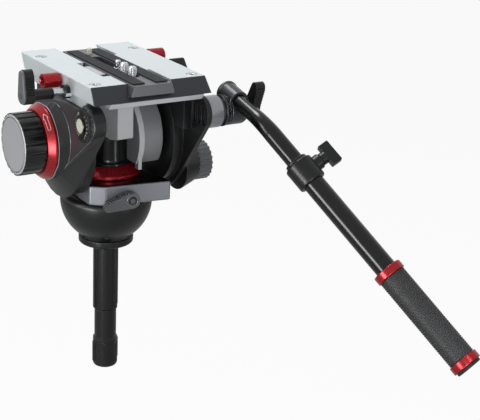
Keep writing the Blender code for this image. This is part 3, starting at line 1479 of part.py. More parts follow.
def main():
    clear_scene()
    finish = build_finishes()
    head = pivot("head", (0, 0, 0))
    handle = pivot("clamp_handle_axis", (0, 0, 0), head)
    pan = pivot("pan_axis", (0, 0, base_bottom), head)
    pan_drag = pivot("pan_drag_axis", (0, 0, base_top), pan)
    pan_lock = pivot("pan_lock_axis", pan_lever_frame().translation, pan)
    tilt = pivot("tilt_axis", (0, 0, tilt_height), pan)
    drag = pivot("drag_knob_axis", (-arm_face, 0, tilt_height), tilt)
    dial = pivot("balance_dial_axis", nose_frame(arm_face, -1).translation, tilt)
    button = pivot("light_button_axis", nose_frame(arm_face, -1).translation, dial)
    tilt_lock = pivot("tilt_lock_axis", tilt_lock_frame().translation + Vector((arm_face, 0, 0)), tilt)
    lock = pivot("plate_lock_axis", (-half_width, -lock_shaft_near, lock_shaft_height), tilt)
    release = pivot("release_axis", (half_width, -release_near, release_height), tilt)
    jaw = pivot("jaw_axis", (channel_centre, jaw_far, platform_top - channel_depth), tilt)
    plate = pivot("plate_axis", (channel_centre, 0, platform_top), tilt)
    screw_places = (camera_screw_near, camera_screw_near + camera_screw_pitch)
    front, rear = [pivot(f"camera_screw_axis_{index}", (channel_centre, -place, platform_top), plate)
                   for index, place in enumerate(screw_places)]
    pin = pivot("video_pin_axis", (channel_centre, video_pin_far, platform_top), plate)
    bar = pivot("pan_bar_axis", nose_frame(arm_face).translation, tilt)
    wing = pivot("wing_axis", nose_frame(wing_start).translation, tilt)
    slide = pivot("bar_slide_axis", bar_bend, bar)
    thumb = pivot("thumb_screw_axis", bar_thumb_frame().translation, slide)

    build_half_ball(finish, head)
    build_clamp_stud(finish, head)
    build_spindle(finish, head)
    build_clamp_handle(finish, handle)
    build_base(finish, pan)
    build_pan_lock(finish, pan_lock)
    build_pan_drag(finish, pan_drag)
    build_neck(finish, pan)
    build_core(finish, pan)
    build_core_inside(finish, pan)
    build_axle(finish, tilt)
    build_left_arm(finish, tilt)
    build_right_arm(finish, tilt)
    build_drag_side(finish, tilt, drag, dial, button)
    build_tilt_lock(finish, tilt, tilt_lock)
    build_platform(finish, tilt)
    build_lip(finish, tilt)
    build_corner_screws(finish, tilt)
    build_sockets(finish, tilt)
    build_plate_lock(finish, lock)
    build_release(finish, release)
    build_jaw(finish, jaw)
    build_plate(finish, plate)
    build_video_pin(finish, pin)
    build_camera_screw("camera_screw_front", screw_places[0], finish, front)
    build_camera_screw("camera_screw_rear", screw_places[1], finish, rear)
    build_rosette(finish, tilt)
    build_bar_upper(finish, bar)
    build_wing(finish, wing)
    build_bar_lower(finish, slide)
    build_thumb_screw(finish, thumb)


main()
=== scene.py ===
# %% [markdown]
# # A fluid video head, dressed for a photograph
# The solids of this head were modelled as CAD first: a half ball with its clamp handle, a turning
# pan housing, two arms that tilt round a grey core, a bridge platform with a sliding camera plate,
# and a telescopic pan bar. This lesson gives those solids the surfaces of the real product:
# powder coat, moulded plastic, anodised rings, polished tube and rubber. Pieces whose look lives in
# fine shape, such as ribs, scales, ticks and rounded edges, are modelled anew and stand in for
# their solid. Every piece rides on the moving body that carries it, so that all joints still work.

# %% Load the solids
import json
import bmesh
import bpy
from math import acos, atan2, cos, hypot, pi, radians, sin, sqrt
from mathutils import Matrix, Vector

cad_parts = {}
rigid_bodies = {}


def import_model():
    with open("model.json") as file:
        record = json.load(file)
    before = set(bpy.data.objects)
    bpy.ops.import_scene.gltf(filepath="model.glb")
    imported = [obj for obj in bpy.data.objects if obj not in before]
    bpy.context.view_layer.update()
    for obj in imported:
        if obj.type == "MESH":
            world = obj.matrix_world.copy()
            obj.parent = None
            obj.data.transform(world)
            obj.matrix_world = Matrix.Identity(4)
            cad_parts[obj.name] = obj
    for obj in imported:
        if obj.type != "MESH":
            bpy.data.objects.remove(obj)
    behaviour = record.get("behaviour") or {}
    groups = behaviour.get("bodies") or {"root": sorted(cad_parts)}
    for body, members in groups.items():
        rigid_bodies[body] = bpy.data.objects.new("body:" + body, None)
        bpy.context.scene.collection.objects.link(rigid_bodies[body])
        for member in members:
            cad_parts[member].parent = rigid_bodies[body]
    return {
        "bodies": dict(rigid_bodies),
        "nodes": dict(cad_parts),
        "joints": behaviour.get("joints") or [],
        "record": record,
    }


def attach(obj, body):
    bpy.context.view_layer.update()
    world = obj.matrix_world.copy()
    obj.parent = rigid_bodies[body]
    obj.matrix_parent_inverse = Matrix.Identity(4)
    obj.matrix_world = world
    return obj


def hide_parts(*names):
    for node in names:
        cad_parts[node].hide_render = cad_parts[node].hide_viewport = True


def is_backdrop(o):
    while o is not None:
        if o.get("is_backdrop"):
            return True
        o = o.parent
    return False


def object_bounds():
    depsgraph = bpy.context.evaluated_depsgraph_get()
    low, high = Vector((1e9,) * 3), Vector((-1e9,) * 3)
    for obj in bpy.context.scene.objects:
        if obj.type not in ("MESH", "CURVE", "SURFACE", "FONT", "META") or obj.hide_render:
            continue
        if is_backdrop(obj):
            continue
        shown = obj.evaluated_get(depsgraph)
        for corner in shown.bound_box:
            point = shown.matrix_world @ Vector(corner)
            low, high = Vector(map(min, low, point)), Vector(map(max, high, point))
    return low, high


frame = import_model()
cad_low, cad_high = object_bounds()

# %% [markdown]
# ## The camera
# The picture was taken from the front left, a little above the platform, with a long lens. The view
# is worked out from edges that are square to each other on the real head: it gives the turn round
# the head, the height, a small roll and the distance in one go. The origin of the model is the
# centre of the half ball, and the camera looks past it by a small offset.

# %% Camera
view_turn = radians(-33.01)
view_height = radians(19.68)
view_roll = radians(2.49)
view_distance = 1.45267
view_offset = (-0.14571, 0.01527)
focal_in_widths = 1333.79 / 480

back = Vector((sin(view_turn) * cos(view_height), -cos(view_turn) * cos(view_height), sin(view_height)))
level = (-back).cross(Vector((0, 0, 1))).normalized()
upright = level.cross(-back)
right = level * cos(view_roll) + upright * sin(view_roll)
up = upright * cos(view_roll) - level * sin(view_roll)
lens = bpy.data.cameras.new("camera")
lens.sensor_width = 36
lens.lens = focal_in_widths * lens.sensor_width
lens.clip_start, lens.clip_end = 0.05, 20
camera = bpy.data.objects.new("camera", lens)
bpy.context.scene.collection.objects.link(camera)
seat = Matrix((right, up, back)).transposed().to_4x4()
seat.translation = back * view_distance - right * view_offset[0] - up * view_offset[1]
camera.matrix_world = seat
bpy.context.scene.camera = camera
bpy.context.scene.view_settings.view_transform = "Standard"
print("lens", round(lens.lens, 1), "mm, distance", round(seat.translation.length, 3), "m")

# %% [markdown]
# ## Light
# A product table has big soft boxes rather than bare lamps. Their shape is what shows in gloss: a
# tall box on the left draws the long bright lines on the tube and the neck, and a wide one above
# lights the platform. A strip and a card stand low, where only gloss shows them. The world fills the
# shadows evenly. For the camera and for gloss it is white, like paper behind the object, which Light
# Path sorts out without adding light to the object.

# %% Node helper, world and soft boxes
def linear(code):
    """An sRGB hex colour as the linear colour that shaders want."""
    values = [int(code[i:i + 2], 16) / 255 for i in (0, 2, 4)]
    return [v / 12.92 if v <= 0.04045 else ((v + 0.055) / 1.055) ** 2.4 for v in values] + [1.0]


def add(tree, kind, inputs=(), **settings):
    """Adds a node with its settings; an input is a value or another node's output."""
    made = tree.nodes.new(kind)
    for name, value in settings.items():
        setattr(made, name, value)
    for key, value in dict(inputs).items():
        if isinstance(value, bpy.types.NodeSocket):
            tree.links.new(value, made.inputs[key])
        else:
            made.inputs[key].default_value = value
    return made


world = bpy.data.worlds.new("studio")
world.use_nodes = True
bpy.context.scene.world = world
tree = world.node_tree
path = add(tree, "ShaderNodeLightPath")
seen = add(tree, "ShaderNodeMath", {0: path.outputs["Is Camera Ray"], 1: path.outputs["Is Glossy Ray"]},
           operation="MAXIMUM")
seen = add(tree, "ShaderNodeMath", {0: seen.outputs[0], 1: path.outputs["Is Transmission Ray"]},
           operation="MAXIMUM")
strength = add(tree, "ShaderNodeMapRange", {"Value": seen.outputs[0], "To Min": 0.22, "To Max": 1.0})
tree.links.new(strength.outputs[0], tree.nodes["Background"].inputs["Strength"])
tree.nodes["Background"].inputs["Color"].default_value = linear("FFFFFF")


def soft_box(name, place, target, width, height, power, along=(0, 0, 1), diffuse=True, gloss=True):
    """A rectangular lamp that faces its target, with its height along a direction. One without its
    diffuse share shows in gloss alone, like a white card, and one without gloss draws no line."""
    lamp = bpy.data.lights.new(name, "AREA")
    lamp.shape = "RECTANGLE"
    lamp.size, lamp.size_y, lamp.energy = width, height, power
    holder = bpy.data.objects.new(name, lamp)
    bpy.context.scene.collection.objects.link(holder)
    back = (Vector(place) - Vector(target)).normalized()
    rise = (Vector(along) - back * back.dot(Vector(along))).normalized()
    holder.matrix_world = Matrix((rise.cross(back), rise, back)).transposed().to_4x4()
    holder.location = place
    holder.visible_camera, holder.visible_diffuse, holder.visible_glossy = False, diffuse, gloss


head_middle, bar_middle = (0, 0, 0.08), (0.08, -0.34, -0.03)
soft_box("box_left", (-1.6, 0.15, 0.45), head_middle, 0.30, 1.0, 10)
soft_box("box_above", (-0.1, 0.6, 1.5), head_middle, 0.7, 0.4, 16)
soft_box("box_right", (1.0, -0.75, 1.5), head_middle, 0.4, 0.4, 8, gloss=False)
soft_box("box_front", (-0.55, -1.6, 0.25), head_middle, 0.3, 0.9, 12)
soft_box("strip_low", (0.18, -0.50, -0.02), (0, 0, 0.06), 0.04, 0.32, 0.35, diffuse=False)
soft_box("card_left", (-0.90, -0.46, -0.06), bar_middle, 0.34, 0.60, 12, (0.1, -0.25, -0.16), False)

# %% [markdown]
# ## Floor
# The head hangs in its bowl, so its pan bar can swing well below the clamp handle: a wide plain
# floor lies below the lowest point of that swing. Seen by the camera it is mostly paper white and a
# little lit surface, so that it stays pale and still takes a soft shadow.

# %% Floor
def new_material(name):
    made = bpy.data.materials.new(name)
    made.use_nodes = True
    return made, made.node_tree, made.node_tree.nodes["Principled BSDF"]


floor_paper, tree, shader = new_material("matt_paper_floor")
shader.inputs["Base Color"].default_value = linear("D8D8D6")
shader.inputs["Roughness"].default_value = 0.9
path = add(tree, "ShaderNodeLightPath")
glow = add(tree, "ShaderNodeEmission", {"Color": linear("FFFFFF"), "Strength": 1.0})
share = add(tree, "ShaderNodeMath", {0: path.outputs["Is Camera Ray"], 1: 0.93}, operation="MULTIPLY")
mix = add(tree, "ShaderNodeMixShader", {0: share.outputs[0], 1: shader.outputs[0], 2: glow.outputs[0]})
tree.links.new(mix.outputs[0], tree.nodes["Material Output"].inputs["Surface"])
swing_room = 0.32
made = bmesh.new()
bmesh.ops.create_grid(made, x_segments=4, y_segments=4, size=6)
bmesh.ops.translate(made, verts=made.verts, vec=(0, 2, cad_low.z - swing_room))
mesh = bpy.data.meshes.new("floor")
made.to_mesh(mesh)
made.free()
mesh.materials.append(floor_paper)
floor = bpy.data.objects.new("floor", mesh)
bpy.context.scene.collection.objects.link(floor)
floor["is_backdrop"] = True

# %% [markdown]
# ## Finishes
# Each finish is named for the real material and how its surface was made. They share a build: a
# fine grain of a real size for the bump, a broad mottle so that no face is one flat colour, gloss
# that varies with both, and edges. The edges come from the Bevel node: where its rounded normal
# leaves the true one, the surface is on an edge, so that edge catches the light as a moulded radius
# does, and its colour is painted paler there, partly as rubbed wear and partly as a painted highlight.
# The grains are drawn at about a millimetre, because the true ones, a few hundredths across, are
# finer than a pixel here.

# %% One recipe for coated, moulded and machined surfaces
def surface(name, colour, roughness, metallic=0.0, grain=1.1, depth=0.02, mottle=0.06, edge_wear_and_highlight=0.25,
            radius=0.5, stretch=(1, 1, 1), patch=28.0, gloss_spread=0.08, shine=0.5):
    """A finish. grain, depth, radius and patch are in millimetres; rub is how far edges pale, and
    shine how much a surface that isn't metal reflects, where 0.5 is plain plastic."""
    made, tree, shader = new_material(name)
    place = add(tree, "ShaderNodeTexCoord").outputs["Object"]
    run = add(tree, "ShaderNodeMapping", {"Vector": place, "Scale": stretch}).outputs[0]
    fine = add(tree, "ShaderNodeTexNoise", {"Vector": run, "Scale": 1000 / grain, "Detail": 2.0})
    broad = add(tree, "ShaderNodeTexNoise", {"Vector": place, "Scale": 1000 / patch, "Detail": 4.0})
    base = linear(colour)
    dark = [c * (1 - mottle) for c in base[:3]] + [1.0]
    pale = [min(1.0, c * (1 + mottle)) for c in base[:3]] + [1.0]
    tone = add(tree, "ShaderNodeMix", {0: broad.outputs[0], 6: dark, 7: pale}, data_type="RGBA")
    rounded = add(tree, "ShaderNodeBevel", {"Radius": radius / 1000}, samples=6)
    flat = add(tree, "ShaderNodeNewGeometry").outputs["Normal"]
    same = add(tree, "ShaderNodeVectorMath", {0: rounded.outputs[0], 1: flat}, operation="DOT_PRODUCT")
    # The edge mask paints edges paler: partly rubbed wear, partly a painted highlight along every edge.
    edge = add(tree, "ShaderNodeMapRange", {"Value": same.outputs["Value"], "From Min": 0.99,
                                            "From Max": 0.80, "To Min": 0.0, "To Max": edge_wear_and_highlight})
    bright = [min(1.0, c * 1.6 + 0.16) for c in base[:3]] + [1.0]
    worn_and_highlit_edges = add(tree, "ShaderNodeMix", {0: edge.outputs[0], 6: tone.outputs[2], 7: bright},
               data_type="RGBA")
    gloss = add(tree, "ShaderNodeMapRange", {"Value": fine.outputs[0],
                                             "To Min": max(0.02, roughness - gloss_spread),
                                             "To Max": min(1.0, roughness + gloss_spread)})
    bump = add(tree, "ShaderNodeBump", {"Height": fine.outputs[0], "Distance": depth / 1000,
                                        "Strength": 1.0, "Normal": rounded.outputs[0]})
    tree.links.new(worn_and_highlit_edges.outputs[2], shader.inputs["Base Color"])
    tree.links.new(gloss.outputs[0], shader.inputs["Roughness"])
    tree.links.new(bump.outputs[0], shader.inputs["Normal"])
    shader.inputs["Metallic"].default_value = metallic
    shader.inputs["Specular IOR Level"].default_value = shine
    return made


# %% [markdown]
# ### Painted castings
# The platform is a die casting with a light silver-grey powder coat; its near end is drawn in a
# darker charcoal, partly a coat of its own and partly painted shade, and the core and the pan housing
# are darker coats of the same kind. The arms, cones and half ball have a black satin coat with a fine
# crackle, which goes grey where a soft box grazes it. The neck and the bar are black enamel over
# turned metal: nearly a mirror, so they show dark with long thin highlights.

# %% Coats
silver_coat = surface("silver_powder_coat", "C6CDD0", 0.40, metallic=0.15, depth=0.015, mottle=0.03,
                      edge_wear_and_highlight=0.15)
# The near end's charcoal is partly painted shade: it is darker than the silver so that the end reads as
# shaded.
charcoal_end_and_shade_coat = surface("charcoal_end_coat_and_painted_shade", "25282B", 0.42, depth=0.015, edge_wear_and_highlight=0.2, shine=0.3)
lip_coat = surface("grey_powder_coat_lip", "B6BAC0", 0.40, depth=0.012, edge_wear_and_highlight=0.2)
core_coat = surface("grey_powder_coat_core", "B0B3B6", 0.42, depth=0.015, edge_wear_and_highlight=0.25)
# A darker copy of the core's grey: painted shade for the drum and the web's face, which are the same
# casting.
drum_painted_shade_coat = surface("grey_drum_coat_painted_shade", "74777A", 0.36, depth=0.01, mottle=0.08, edge_wear_and_highlight=0.3)
housing_coat = surface("grey_powder_coat_housing", "6A6D72", 0.36, metallic=0.4, depth=0.02, edge_wear_and_highlight=0.3)
# A lighter copy of the black coat for the left arm's outer face: a painted highlight on it.
arm_face_painted_highlight_coat = surface("graphite_arm_face_painted_highlight", "4A4C50", 0.36, metallic=0.6, depth=0.02, mottle=0.1, edge_wear_and_highlight=0.3)
black_coat = surface("black_satin_coat", "121315", 0.34, depth=0.012, grain=1.3, mottle=0.12, edge_wear_and_highlight=0.4,
                     shine=0.26)
black_enamel = surface("black_enamel", "08090A", 0.19, depth=0.002, grain=4.0, mottle=0.1, edge_wear_and_highlight=0.2,
                       gloss_spread=0.03, shine=0.28)

# %% [markdown]
# ### Plastics and rubber
# Knobs and levers are glass-filled nylon, moulded with a fine spark-eroded texture: black, slightly
# glossy. Pads and grip are rubber, which is rough enough to look grey under soft light. The lit
# button and the spring pin are ivory acetal.

# %% Plastics
black_nylon = surface("black_moulded_nylon", "0E0F10", 0.32, depth=0.008, grain=0.9, mottle=0.1,
                      edge_wear_and_highlight=0.3, shine=0.26)
gloss_nylon = surface("black_polished_nylon", "0B0C0D", 0.18, depth=0.004, grain=1.5, mottle=0.1,
                      edge_wear_and_highlight=0.3, gloss_spread=0.04, shine=0.34)
rubber_pad = surface("black_rubber_pad", "242527", 0.75, depth=0.05, grain=0.8, mottle=0.12, edge_wear_and_highlight=0.2,
                     shine=0.2)
grip_rubber = surface("black_rubber_grip", "1E1F21", 0.55, depth=0.04, grain=0.8, mottle=0.12,
                      edge_wear_and_highlight=0.5, radius=0.25, shine=0.35)
ivory_acetal = surface("ivory_acetal", "CBC8B4", 0.35, depth=0.005, mottle=0.04, edge_wear_and_highlight=0.1)
white_ink = surface("white_ink", "E6E7E8", 0.55, depth=0.003, mottle=0.03, edge_wear_and_highlight=0.0)
dark_ink = surface("dark_ink", "1A1214", 0.5, depth=0.003, mottle=0.05, edge_wear_and_highlight=0.0)

# %% [markdown]
# ### Metals
# Anodised aluminium keeps the fine lines of its turning under the colour: the red is a clear dye
# over bright metal, so it is metallic and glows where light strikes it. The plate is black
# anodised, which looks charcoal from above. Screws and pins are bright or blackened steel.

# %% Metals
red_anodised = surface("red_anodised_aluminium", "8E0A16", 0.26, metallic=0.5, grain=1.2, depth=0.001,
                       mottle=0.08, edge_wear_and_highlight=0.25, radius=0.4)
black_anodised = surface("black_anodised_aluminium", "4A4D50", 0.36, metallic=0.35, depth=0.006,
                         mottle=0.06, edge_wear_and_highlight=0.5, stretch=(1, 0.1, 1))
turned_steel = surface("turned_steel", "B4B7BA", 0.24, metallic=1.0, depth=0.004, mottle=0.05, edge_wear_and_highlight=0.2)
blackened_steel = surface("blackened_steel", "3A3B3E", 0.30, metallic=0.8, depth=0.008, mottle=0.1,
                          edge_wear_and_highlight=0.5)
bare_aluminium = surface("machined_aluminium", "B9BCBF", 0.30, metallic=1.0, depth=0.006, edge_wear_and_highlight=0.2)
bronze = surface("bearing_bronze", "B08A4E", 0.35, metallic=1.0, depth=0.006, edge_wear_and_highlight=0.2)
# A pale coat for rounded edge strips: worn edges and a painted highlight along them.
worn_edge_and_highlight_coat = surface("black_coat_worn_edges_painted_highlight", "BEC3C8", 0.36, metallic=0.5, depth=0.005, mottle=0.1, edge_wear_and_highlight=0.2)
clamp_coat = surface("black_satin_cast_clamp", "36383B", 0.30, metallic=0.6, depth=0.002, mottle=0.1,
                     edge_wear_and_highlight=0.5)
# The boss's graphite is partly its metal and partly a painted highlight, paler than the turned metal is.
boss_metal_and_highlight_coat = surface("graphite_boss_painted_highlight", "83868A", 0.28, metallic=0.85, depth=0.001, mottle=0.06,
                    edge_wear_and_highlight=0.3, gloss_spread=0.03)
lever_cover_coat = surface("grey_painted_lever_cover", "5C5E61", 0.40, depth=0.01, edge_wear_and_highlight=0.4)
lever_nylon = surface("dark_grey_moulded_nylon", "4A4C50", 0.26, depth=0.01, grain=0.9, edge_wear_and_highlight=0.6)
cap_metal = surface("satin_grey_cap", "B2B4B8", 0.42, metallic=0.45, depth=0.008, grain=0.9, edge_wear_and_highlight=0.3)
print("finishes:", len(bpy.data.materials))

# %% [markdown]
# ## Tools for making pieces
# A few helpers carry all the modelling. A lathe spins half an outline about Z, a frame says where
# that Z goes on the head, and a piece takes the finished shape, its finish and the moving body that
# it rides on. A solid whose shape is right already is copied, its loose triangles are merged back
# into flat faces, and its edges are rounded.

# %% Modelling helpers
def axis_frame(axis, origin=(0, 0, 0), lean=(0, 0, 1)):
    """A frame whose Z runs along axis and whose X leans towards lean."""
    z = Vector(axis).normalized()
    x = (Vector(lean) - z * z.dot(Vector(lean))).normalized()
    made = Matrix((x, z.cross(x), z)).transposed().to_4x4()
    made.translation = Vector(origin)
    return made


def lathe(outline, steps=96, frame=None):
    """Spins an outline of (radius, height) about Z; it is closed if it leaves the axis open."""
    made = bmesh.new()
    ring = [made.verts.new((r, 0, h)) for r, h in outline]
    ends = zip(ring, ring[1:] + ring[:1]) if min(ring[0].co.x, ring[-1].co.x) > 0 else zip(ring, ring[1:])
    for first, second in ends:
        made.edges.new((first, second))
    bmesh.ops.spin(made, geom=made.verts[:] + made.edges[:], cent=(0, 0, 0), axis=(0, 0, 1),
                   dvec=(0, 0, 0), angle=2 * pi, steps=steps, use_merge=True)
    bmesh.ops.remove_doubles(made, verts=made.verts, dist=1e-6)
    bmesh.ops.recalc_face_normals(made, faces=made.faces)
    if frame is not None:
        bmesh.ops.transform(made, matrix=frame, verts=made.verts)
    return made


def outline_slab(points, low, high, frame=None):
    """Extrudes an outline of (x, y) from low to high along Z."""
    made = bmesh.new()
    face = made.faces.new([made.verts.new((x, y, low)) for x, y in points])
    grown = bmesh.ops.extrude_face_region(made, geom=[face])["geom"]
    bmesh.ops.translate(made, vec=(0, 0, high - low),
                        verts=[item for item in grown if isinstance(item, bmesh.types.BMVert)])
    bmesh.ops.recalc_face_normals(made, faces=made.faces)
    if frame is not None:
        bmesh.ops.transform(made, matrix=frame, verts=made.verts)
    return made


def block(size, centre, frame=None):
    """A box of that size round its centre."""
    made = bmesh.new()
    bmesh.ops.create_cube(made, size=1.0)
    bmesh.ops.scale(made, vec=size, verts=made.verts)
    bmesh.ops.translate(made, vec=centre, verts=made.verts)
    if frame is not None:
        bmesh.ops.transform(made, matrix=frame, verts=made.verts)
    return made


def soften(made, width, segments=3, angle=radians(25), keep=None, bright=None):
    """Rounds every edge that is sharper than angle, or those that keep picks. Rounded strips that
    bright picks by their middle get the second finish."""
    edges = [e for e in made.edges if len(e.link_faces) == 2 and e.calc_face_angle(0) > angle
             and (keep is None or keep(e))]
    strips = bmesh.ops.bevel(made, geom=edges, offset=width, affect="EDGES", segments=segments,
                             profile=0.5, material=-1, clamp_overlap=True)["faces"]
    for face in strips if bright else ():
        face.material_index = int(bright(face.calc_center_median()))
    return made


def together(first, *others):
    """Several closed shapes in one mesh."""
    for other in others:
        spare = bpy.data.meshes.new("spare")
        other.to_mesh(spare)
        other.free()
        first.from_mesh(spare)
        bpy.data.meshes.remove(spare)
    return first


def solid_copy(node):
    """A CAD solid as clean flat faces again."""
    made = bmesh.new()
    made.from_mesh(frame["nodes"][node].data)
    for layer in list(made.loops.layers.uv):
        made.loops.layers.uv.remove(layer)
    bmesh.ops.remove_doubles(made, verts=made.verts, dist=1e-6)
    bmesh.ops.dissolve_limit(made, angle_limit=radians(0.6), verts=made.verts, edges=made.edges)
    return made


def piece(name, made, finish, body, stands_for=(), smooth=radians(32)):
    """The shape as an object that rides on a body and stands for CAD solids."""
    mesh = bpy.data.meshes.new(name)
    made.to_mesh(mesh)
    made.free()
    for each in finish if isinstance(finish, (list, tuple)) else [finish]:
        mesh.materials.append(each)
    mesh.shade_smooth()
    mesh.set_sharp_from_angle(angle=smooth)
    thing = bpy.data.objects.new(name, mesh)
    bpy.context.scene.collection.objects.link(thing)
    thing.modifiers.new("flat faces lead", "WEIGHTED_NORMAL").keep_sharp = True
    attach(thing, body)
    if stands_for:
        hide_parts(*([stands_for] if isinstance(stands_for, str) else stands_for))
    print(name, len(mesh.polygons), "faces on", body)
    return thing


def paint(finish, *nodes):
    """Gives CAD solids a finish."""
    for node in nodes:
        mesh = frame["nodes"][node].data
        mesh.materials.clear()
        mesh.materials.append(finish)

# %% [markdown]
# ## Half ball
# The half ball is a black coated casting, hollow below, that sits in a tripod's bowl. Its shoulder
# is a generous round, which shows as a dark lip under the pan housing. One outline spun about the
# pan axis gives the outside, the hollow and the threaded boss at once.

# %% Half ball
def arc(centre, radius, start, end, steps):
    """Points on an arc of an outline, ends included, in degrees."""
    turns = [radians(start + (end - start) * i / steps) for i in range(steps + 1)]
    return [(centre[0] + radius * cos(t), centre[1] + radius * sin(t)) for t in turns]


ball_outline = [(0, 0.0075), (0.0420, 0.0075)]
ball_outline += arc((0.0420, -0.0005), 0.0080, 88, 12, 8)
ball_outline += arc((0, 0), 0.0500, 0, -47.2, 16)
ball_outline += arc((0, 0), 0.0440, -56.4, 0, 16)
ball_outline += [(0.0130, 0.0003), (0.0120, -0.0008), (0.0120, -0.0290), (0.0110, -0.0300),
                 (0.0063, -0.0300), (0.0063, -0.0040), (0, -0.0040)]
ball = piece("ball_casting", lathe(ball_outline), black_coat, "ball", "half_ball")
paint(turned_steel, "pan_spindle")

# %% [markdown]
# ## Clamp handle
# Below the ball hangs the handle that clamps it: a cupped pressure washer, a ribbed sleeve, a plain
# waist and a ribbed grip with a rounded end, all black moulded nylon on a threaded steel stud. The
# thread is cut as a stack of fine rings, which reads the same as a helix at this size. The ribs are
# bars with round edges, copied round the axis by the spin operator.

# %% Clamp handle
def copies_around(made, count):
    """Copies everything in a bmesh round Z."""
    bmesh.ops.spin(made, geom=made.verts[:] + made.edges[:] + made.faces[:], cent=(0, 0, 0),
                   axis=(0, 0, 1), dvec=(0, 0, 0), angle=2 * pi * (count - 1) / count,
                   steps=count - 1, use_duplicate=True)
    return made


def ribs_around(count, reach, depth, width, low, high, ease, segments=3):
    """Bars that stand up from a round body: reach is their crest and depth goes inwards."""
    rib = soften(block((depth, width, high - low), (reach - depth / 2, 0, (low + high) / 2)),
                 ease, segments)
    return copies_around(rib, count)


washer = lathe([(0.0066, -0.0557), (0.0125, -0.0557), (0.0125, -0.0515), (0.0280, -0.0515),
                (0.0300, -0.0495), (0.0300, -0.0435), (0.0260, -0.0435), (0.0260, -0.0475),
                (0.0066, -0.0475)])
piece("pressure_washer", soften(washer, 0.0008), black_nylon, "clamp_handle", "clamp_washer")
sleeve = soften(lathe([(0.0066, -0.0560), (0.0125, -0.0560), (0.0125, -0.1307), (0.0066, -0.1307)]),
                0.0006)
sleeve = together(sleeve, ribs_around(6, 0.0148, 0.0040, 0.0044, -0.1300, -0.0566, 0.0010))
piece("handle_sleeve", sleeve, black_nylon, "clamp_handle", "clamp_sleeve")
grip = lathe([(0, -0.2015), (0.0100, -0.2015)] + arc((0.0100, -0.1977), 0.0038, -75, 0, 5) +
             [(0.0138, -0.1675), (0.0122, -0.1660), (0.0122, -0.1318), (0.0116, -0.1312),
              (0.0066, -0.1312), (0.0066, -0.1463), (0, -0.1463)])
grip = together(grip, ribs_around(6, 0.0155, 0.0040, 0.0044, -0.1955, -0.1704, 0.0012))
piece("handle_grip", grip, black_nylon, "clamp_handle", "clamp_grip")
stud = [(0, -0.0040), (0.0060, -0.0040), (0.0060, -0.0300), (0.0110, -0.0303), (0.0110, -0.0360),
        (0.0060, -0.0363)]
for turn in range(70):
    crest = -0.0372 - 0.00155 * turn
    stud += [(0.0053, crest + 0.0005), (0.0060, crest)]
stud += [(0.0048, -0.1459), (0, -0.1459)]
piece("threaded_stud", lathe(stud, 48), turned_steel, "ball", "clamp_stud")

# %% [markdown]
# ## Pan housing
# The block on the ball holds the pan bearing and its lock. It is a milled casting with flat panels:
# the front one is square to the operator but turned a few degrees. An outline is extruded and its
# edges are rounded wide, so that each panel ends in a soft line of light. Its top is black enamel.

# %% Pan housing
pan_turn = Matrix.Rotation(radians(-8), 4, "Z")
housing_outline = [(0.0540, -0.0530), (0.0540, -0.0460), (0.0440, -0.0200), (0.0440, 0.0200),
                   (0.0300, 0.0440), (-0.0250, 0.0460), (-0.0380, 0.0200), (-0.0380, -0.0200),
                   (-0.0340, -0.0445), (-0.0180, -0.0530)]
housing = soften(outline_slab(housing_outline, 0.0078, 0.0290, pan_turn), 0.0018, 4)
for face in housing.faces:
    face.material_index = int(face.normal.z > 0.9)
piece("pan_casting", housing, [housing_coat, black_enamel], "pan", "pan_housing")

# %% [markdown]
# ## Pan drag ring and neck
# Round the neck lies the pan drag ring, red anodised with a sloping crown that carries fine black
# ticks. The neck is black enamel, with a flared foot that hides the ring's bearing and a groove
# below the core.

# %% Pan drag ring and neck
ring = lathe([(0.0241, 0.0296), (0.0365, 0.0296), (0.0370, 0.0301), (0.0370, 0.0331),
              (0.0265, 0.0411), (0.0241, 0.0411)])
piece("pan_ring_body", soften(ring, 0.0005), red_anodised, "pan_drag", "pan_drag_ring")
slope = atan2(0.0080, 0.0105)
tick = block((0.0050, 0.0005, 0.0002), (0, 0, 0))
bmesh.ops.rotate(tick, cent=(0, 0, 0), matrix=Matrix.Rotation(slope, 3, "Y"), verts=tick.verts)
bmesh.ops.translate(tick, vec=(0.0330, 0, 0.03625), verts=tick.verts)
piece("pan_ring_ticks", copies_around(tick, 48), dark_ink, "pan_drag")
neck_outline = [(0.0106, 0.0293), (0.0235, 0.0293), (0.0235, 0.0414), (0.0262, 0.0414),
                (0.0262, 0.0422)]
neck_outline += arc((0.0285, 0.0480), 0.0050, -118, -180, 6)
neck_outline += [(0.0235, 0.0500), (0.0235, 0.0690), (0.0226, 0.0694), (0.0226, 0.0706),
                 (0.0235, 0.0710), (0.0235, 0.0742), (0.0230, 0.0747), (0, 0.0747), (0, 0.0546),
                 (0.0148, 0.0546), (0.0148, 0.0450), (0.0106, 0.0450)]
neck = lathe(neck_outline)
paint(bronze, "pan_bearing")
piece("neck_turning", neck, black_enamel, "pan", "neck")

# %% [markdown]
# ## Left arm
# The left arm is one casting that flares from the drag housing to the dial on its nose. On the real
# part each facet ends in a fine bright line, because the coat is thin on the edges; here the rounded
# strips of the outer facets take a pale coat that is that worn edge and a painted highlight in one,
# and the outer face takes a lighter graphite that is a painted highlight. The solid has these facets
# already, so it is copied, cleaned and given round edges.

# %% Left arm
arm_face = -0.0680
# The strips that bright picks take the pale coat: worn edges and a painted highlight.
left_arm = soften(solid_copy("left_arm"), 0.0007, 2, radians(14),
                  keep=lambda e: e.calc_length() > 0.0011 and e.is_convex,
                  bright=lambda middle: middle.x < arm_face + 0.0008)
